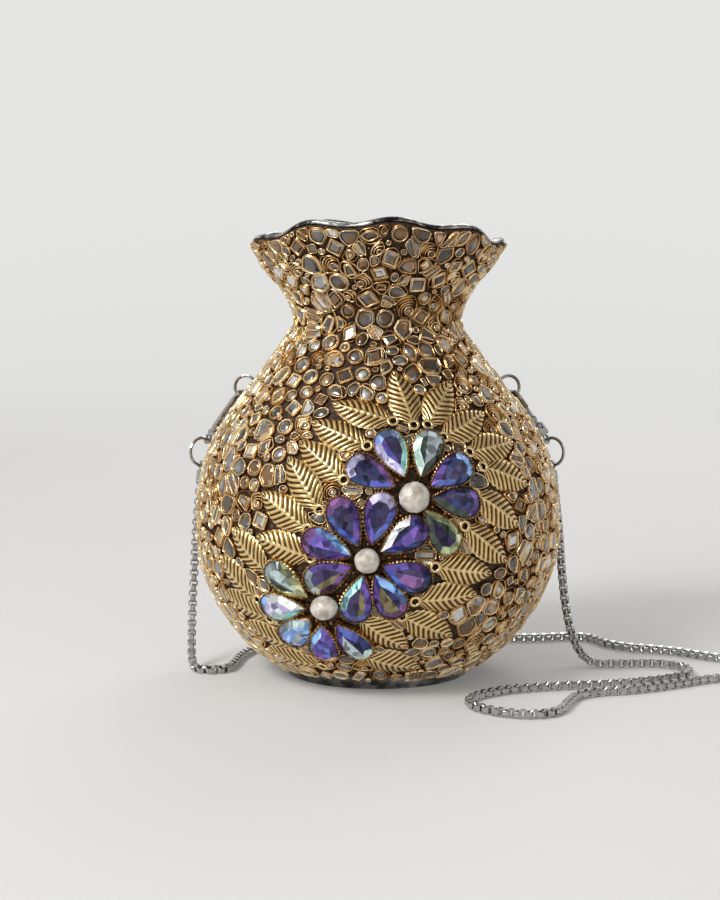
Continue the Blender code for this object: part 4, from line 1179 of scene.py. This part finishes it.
def ring_drawing(centre, radius, wire, lift, count=20, sides=8):
    """A small flat ring: rows of x, y, lift, and its faces."""
    rows = []
    for i in range(count):
        angle = math.tau * i / count
        for j in range(sides):
            turn = math.tau * j / sides
            reach = radius + wire * math.cos(turn)
            x, y = centre[0] + reach * math.cos(angle), centre[1] + reach * math.sin(angle)
            rows.append((x, y, lift + wire * math.sin(turn)))
    return np.array(rows), flipped(rings_to_faces(count, sides, closed=True))


def turned_drawing(rows, way):
    """Rows of x, y and more, turned in the plane."""
    rows = np.array(rows)
    x, y = rows[:, 0].copy(), rows[:, 1].copy()
    rows[:, 0] = x * math.cos(way) - y * math.sin(way)
    rows[:, 1] = x * math.sin(way) + y * math.cos(way)
    return rows


for number, (azimuth, height, turn) in enumerate(LEAVES, 1):
    name = f"leaf_{number:02d}"
    drawing, faces = leaf_drawing(rng.uniform(-0.10, 0.10), rng.uniform(0.0, 0.0007))
    loop, loop_faces = ring_drawing((-LEAF_LENGTH / 2 - LOOP_RADIUS * 0.7, 0), LOOP_RADIUS, LOOP_WIRE, -0.0002)
    start = len(drawing)
    faces = faces + [tuple(start + i for i in face) for face in loop_faces]
    hollows = np.concatenate([drawing[:, 3], np.full(len(loop), 0.1)])
    flat = turned_drawing(np.concatenate([drawing[:, :3], loop]), math.radians(turn))
    points = on_wall(laid_at(math.radians(azimuth), run_at(height), flat))
    mesh = bpy.data.meshes.new(name)
    mesh.from_pydata(points.tolist(), [], faces)
    mesh.attributes.new("hollow", "FLOAT", "POINT").data.foreach_set("value", hollows)
    leaf = dressed(f"pressed_{name}", mesh, leaf_gold)
    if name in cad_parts:
        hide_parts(name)
print(len(LEAVES), "leaves of", len(faces), "faces")

# %% [markdown]
# ## The flowers
#
# A petal is a drop of faceted glass with a coating that throws violet, blue and green. Each facet has a
# tint of its own, mottled by small flecks. The crown is seven facets between the round girdle and the
# flat table. Each facet is one flat face, which is what makes cut glass flash. The colours belong to the
# facets, so they stay put when the view turns. A milled gold band holds each drop.

# %% Glass for the petals
# Each tint by the name that a maker would give it, except the brightest, which is a painted highlight: a facet
# painted near white as if it flashed a lamp
TINTS = {
    "navy": (0.016, 0.018, 0.080), "ink": (0.035, 0.028, 0.085), "violet": (0.085, 0.040, 0.300),
    "blue": (0.040, 0.070, 0.360), "azure": (0.140, 0.330, 0.800), "lilac": (0.420, 0.400, 0.680),
    "aqua": (0.300, 0.760, 0.820), "mint": (0.560, 0.900, 0.760), "moss": (0.055, 0.075, 0.060),
    "olive": (0.150, 0.125, 0.050), "frost": (0.300, 0.370, 0.390), "painted_glint": (0.900, 0.930, 0.920),
    "lime": (0.520, 0.600, 0.300), "peach": (0.720, 0.380, 0.260), "plum": (0.160, 0.060, 0.220),
}
# Of each petal: both halves of the table, the long facets left and right of its point, and the round end
PETALS = {
    "upper": (
        ("ink", "navy", "blue", "plum", "lilac"), ("violet", "ink", "lilac", "aqua", "azure"),
        ("moss", "frost", "mint", "moss", "frost"), ("navy", "ink", "violet", "blue", "azure"),
        ("ink", "navy", "ink", "moss", "violet"), ("moss", "ink", "lime", "moss", "lime"),
    ),
    "middle": (
        ("navy", "ink", "blue", "violet", "plum"), ("navy", "ink", "violet", "blue", "lilac"),
        # The near-white facet in this petal, and in the second lower petal, is a painted highlight
        ("navy", "violet", "painted_glint", "blue", "violet"), ("ink", "plum", "violet", "blue", "navy"),
        ("navy", "olive", "azure", "violet", "plum"), ("olive", "ink", "violet", "aqua", "blue"),
        ("olive", "ink", "plum", "violet", "frost"), ("navy", "violet", "violet", "azure", "plum"),
    ),
    "lower": (
        ("moss", "frost", "lime", "lime", "frost"), ("frost", "lilac", "aqua", "painted_glint", "azure"),
        ("frost", "azure", "azure", "frost", "violet"), ("blue", "violet", "violet", "azure", "peach"),
        ("navy", "frost", "blue", "violet", "mint"),
    ),
}
petal_glass = Finish("petal_glass", coat_weight=0.2, coat_roughness=0.02, specular_ior_level=0.25)
own = petal_glass.node("Attribute", {"attribute_name": "facet"}, {}, "Color")
fine = {"Vector": petal_glass.place(), "Scale": 430}
flecks = petal_glass.node("TexVoronoi", {"feature": "F1"}, fine, "Color")
shift = {
    "Hue": petal_glass.grain(240) * 0.14 + 0.43, "Saturation": 0.86,
    "Value": flecks * 2.4 + 0.2, "Color": own,
}
petal_glass.feed("Base Color", petal_glass.node("HueSaturation", {}, shift))
petal_glass.feed("Metallic", petal_glass.grain(90) * 0.3 + 0.5)
petal_glass.feed("Roughness", petal_glass.grain(240) * 0.08 + 0.04)
band_gold = Finish("band_gold", metallic=1.0)
tarnish = band_gold.grain(1100)
band_gold.feed("Base Color", band_gold.ramp(tarnish, (0.35, (0.10, 0.045, 0.015)), (0.65, (0.62, 0.40, 0.17))))
band_gold.feed("Roughness", tarnish * 0.3 + 0.2)
print("petal tints:", ", ".join(TINTS))

# %% Cut and set the petals
GIRDLE_POINTS = 36
# Where the crown's facets meet the girdle, counted in its points; the petal's point is at 18
CORNERS = (2, 5, 10, 18, 26, 31, 34)
GIRDLE = 0.0011
TABLE_HEIGHT = 0.0031
TABLE_SIZE = 0.62
BAND_TEETH = 42


def drop_outline(count, length, width):
    """A drop with its point at -X."""
    outline = []
    for i in range(count):
        angle = math.tau * i / count
        taper = math.sqrt(max(math.cos(angle / 2) ** 2, 0))
        outline.append((length / 2 * math.cos(angle), width * 0.66 * math.sin(angle) * taper))
    return np.array(outline)


def petal_mesh(name, table_tint, other_half, left, right, end):
    """A faceted drop: its girdle, the crown's facets and the table, each in its tint."""
    girdle = drop_outline(GIRDLE_POINTS, PETAL_LENGTH, PETAL_WIDTH)
    table = girdle[list(CORNERS)] * TABLE_SIZE + (0.0004, 0)
    points = [(x, y, 0) for x, y in girdle] + [(x, y, GIRDLE) for x, y in girdle]
    points += [(x, y, TABLE_HEIGHT) for x, y in table]
    faces = rings_to_faces(2, GIRDLE_POINTS)
    tints = [TINTS["ink"]] * len(faces)
    crown = (end, left, left, right, right, end, end)
    for i, corner in enumerate(CORNERS):
        after = CORNERS[(i + 1) % len(CORNERS)]
        steps = (after - corner) % GIRDLE_POINTS
        arc = [GIRDLE_POINTS + (corner + k) % GIRDLE_POINTS for k in range(steps + 1)]
        faces.append((*arc, 2 * GIRDLE_POINTS + (i + 1) % len(CORNERS), 2 * GIRDLE_POINTS + i))
        dim = rng.uniform(0.35, 1.0) if i in (1, 4, 5, 6) else 1.0
        tints.append(tuple(dim * value for value in TINTS[crown[i]]))
    corner = 2 * GIRDLE_POINTS
    faces += [tuple(corner + i for i in half) for half in ((0, 1, 2, 3), (3, 4, 5, 6, 0))]
    tints += [TINTS[table_tint], TINTS[other_half]]
    mesh = bpy.data.meshes.new(name)
    mesh.from_pydata(points, [], faces)
    colors = [(*tint, 1) for face, tint in zip(faces, tints) for _ in face]
    mesh.attributes.new("facet", "FLOAT_COLOR", "CORNER").data.foreach_set("color", np.ravel(colors))
    return mesh


def milled_band(name):
    """The toothed gold band around a petal."""
    count = 2 * BAND_TEETH
    base = drop_outline(count, PETAL_LENGTH, PETAL_WIDTH)
    wide, narrow = inset(base, -0.0007), inset(base, -0.0003)
    teeth = np.where((np.arange(count) % 2)[:, None] == 0, wide, narrow)
    foot, rim, inside = (inset(base, width) for width in (-0.0008, -0.0001, 0.0002))
    rows = stacked([(foot, -0.0004), (teeth, 0.0010), (rim, 0.0014), (inside, 0.0009)])
    rows[count:3 * count:2, 2] += 0.00025
    mesh = bpy.data.meshes.new(name)
    mesh.from_pydata(rows.tolist(), [], rings_to_faces(4, count))
    return mesh


tints = {f"petal_{flower}_{i}": row for flower, table in PETALS.items() for i, row in enumerate(table, 1)}
for name, angle, run, way in petal_places():
    placement = frame_on_wall(angle, run, SEAT) @ Matrix.Rotation(way, 4, "Z")
    mesh = petal_mesh(f"glass_{name}", *tints[name])
    mesh.transform(placement)
    glass_petal = dressed(f"glass_{name}", mesh, petal_glass, smooth=False)
    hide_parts(name)
    mesh = milled_band(f"band_{name}")
    mesh.transform(placement)
    dressed(f"band_{name}", mesh, band_gold, smooth=False)
print(len(tints), "petals set")

# %% [markdown]
# ## The pearls
#
# The pearl in each flower isn't quite round and its skin is slightly dented, which tells it from a
# turned bead. A fine ball is pushed in and out by a slow noise.

# %% Set the pearls
PEARL_SHIFTS = {"upper": (-0.0003, -0.0010), "middle": (0.0002, 0.0002), "lower": (0.0012, 0.0021)}
PEARL_TALL = {"upper": 1, "middle": 1, "lower": 0.86}
for flower, (azimuth, height, pearl_radius, *_) in FLOWERS.items():
    bm = bmesh.new()
    bmesh.ops.create_icosphere(bm, subdivisions=5, radius=pearl_radius)
    for vertex in bm.verts:
        dent = noise.noise(vertex.co * 420 + Vector((azimuth, 0, 0)))
        wrinkle = noise.noise(vertex.co * 1100 + Vector((0, azimuth, 0)))
        vertex.co *= 1 + 0.045 * dent + 0.018 * wrinkle
        vertex.co.y *= PEARL_TALL[flower]
    mesh = bpy.data.meshes.new(f"bead_{flower}")
    bm.to_mesh(mesh)
    bm.free()
    x, y = PEARL_SHIFTS[flower]
    angle = math.radians(azimuth) + x / float(radius_at(run_at(height)))
    mesh.transform(frame_on_wall(angle, run_at(height) + y, SEAT + pearl_radius))
    bead = dressed(f"round_pearl_{flower}", mesh, pearl)
    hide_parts(f"pearl_{flower}")
print("three pearls")

# %% [markdown]
# ## The metalwork at the sides
#
# The ears, clasps, triggers, rings and chain ends are plain bent wire and bar. Their CAD shapes are right
# as they are, and they only get a plated finish.

# %% Plate the metalwork
for side_name in ("right", "left"):
    for kind in ("ear", "swivel_eye", "clasp", "trigger", "ring", "chain_end"):
        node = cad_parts[f"{kind}_{side_name}"]
        node.data.materials.clear()
        node.data.materials.append(nickel.material)

# %% [markdown]
# ## Floor and light
#
# The bag stands on a plain pale floor in soft light, so that the finishes speak for themselves. By way
# of Light Path, the background is pale to the camera, to mirrors and to glass, and dimmer as a lamp, so
# that the object isn't washed out.

# %% The studio
SWEEP_NEAR = -12
SWEEP_HALF_WIDTH = 12
SWEEP_BEND = 1.0
SWEEP_RADIUS = 0.8
SWEEP_TOP = 3.0


def sweep_mesh():
    """A floor that bends up into a backdrop."""
    line = [(SWEEP_NEAR, 0)]
    for i in range(25):
        turn = math.pi / 2 * i / 24
        line.append((SWEEP_BEND + SWEEP_RADIUS * math.sin(turn), SWEEP_RADIUS * (1 - math.cos(turn))))
    line.append((SWEEP_BEND + SWEEP_RADIUS, SWEEP_TOP))
    points = [(x, y, z) for y, z in line for x in (-SWEEP_HALF_WIDTH, SWEEP_HALF_WIDTH)]
    faces = [(2 * i, 2 * i + 1, 2 * i + 3, 2 * i + 2) for i in range(len(line) - 1)]
    mesh = bpy.data.meshes.new("floor")
    mesh.from_pydata(points, [], faces)
    mesh.polygons.foreach_set("use_smooth", [True] * len(faces))
    return mesh


floor_mesh = sweep_mesh()
floor = bpy.data.objects.new("floor", floor_mesh)
bpy.context.scene.collection.objects.link(floor)
card = Finish("pale_floor", roughness=0.8)
card.feed("Base Color", card.tint(card.grain(3), (0.79, 0.785, 0.78), (0.82, 0.815, 0.81)))
away = card.node("VectorMath", {"operation": "LENGTH"}, {0: card.place()}, "Value")
spread = {"Value": away, "From Min": 0.15, "From Max": 1.6, "To Min": 0.15}
far_off = card.node("MapRange", {"interpolation_type": "SMOOTHSTEP"}, spread)
pale = card.node("Emission", {}, {"Color": (0.78, 0.78, 0.775, 1), "Strength": 1.0})
lit = Value(card, card.shader.outputs[0])
mixed = card.node("MixShader", {}, {0: far_off * card.seen(), 1: lit, 2: pale})
card.tree.links.new(mixed.socket, card.tree.nodes["Material Output"].inputs["Surface"])
floor_mesh.materials.append(card.material)

world = bpy.data.worlds.new("studio")
bpy.context.scene.world = world
world.use_nodes = True
sky = Graph(world.node_tree, "Background")
sky.feed("Strength", sky.node("MapRange", {}, {"Value": sky.seen(), "To Min": 0.6, "To Max": 0.85}))
# The room is darker on the right, but the camera doesn't see that
sideways = sky.node("SeparateXYZ", {}, {0: sky.node("TexCoord", {}, {}, "Generated")}, "X")
spread = {"Value": sideways, "From Min": -0.7, "From Max": 0.8}
falloff = sky.node("MapRange", {"interpolation_type": "SMOOTHSTEP"}, spread)
camera_ray = sky.node("LightPath", {}, {}, "Is Camera Ray")
unseen = sky.node("Math", {"operation": "SUBTRACT", "use_clamp": True}, {0: falloff, 1: camera_ray})
sky.feed("Color", sky.tint(unseen, (1.0, 0.98, 0.94), (0.34, 0.33, 0.33)))


def soft_lamp(name, place, target, size, power):
    """A square lamp that points at its target."""
    light = bpy.data.lights.new(name, "AREA")
    light.size = size
    light.energy = power
    lamp = bpy.data.objects.new(name, light)
    lamp.location = place
    lamp.rotation_euler = (Vector(target) - Vector(place)).to_track_quat("-Z", "Y").to_euler()
    bpy.context.scene.collection.objects.link(lamp)


soft_lamp("key", (-0.75, -0.70, 0.95), (0, 0, 0.08), 0.45, 11)
soft_lamp("fill", (0.9, -0.8, 0.5), (0, 0, 0.08), 0.8, 1.5)
soft_lamp("back", (0.3, 0.9, 0.8), (0, 0, 0.08), 0.6, 3)
bpy.context.scene.view_settings.view_transform = "Standard"
print("three soft lamps")

# %% Finish
bpy.context.view_layer.update()
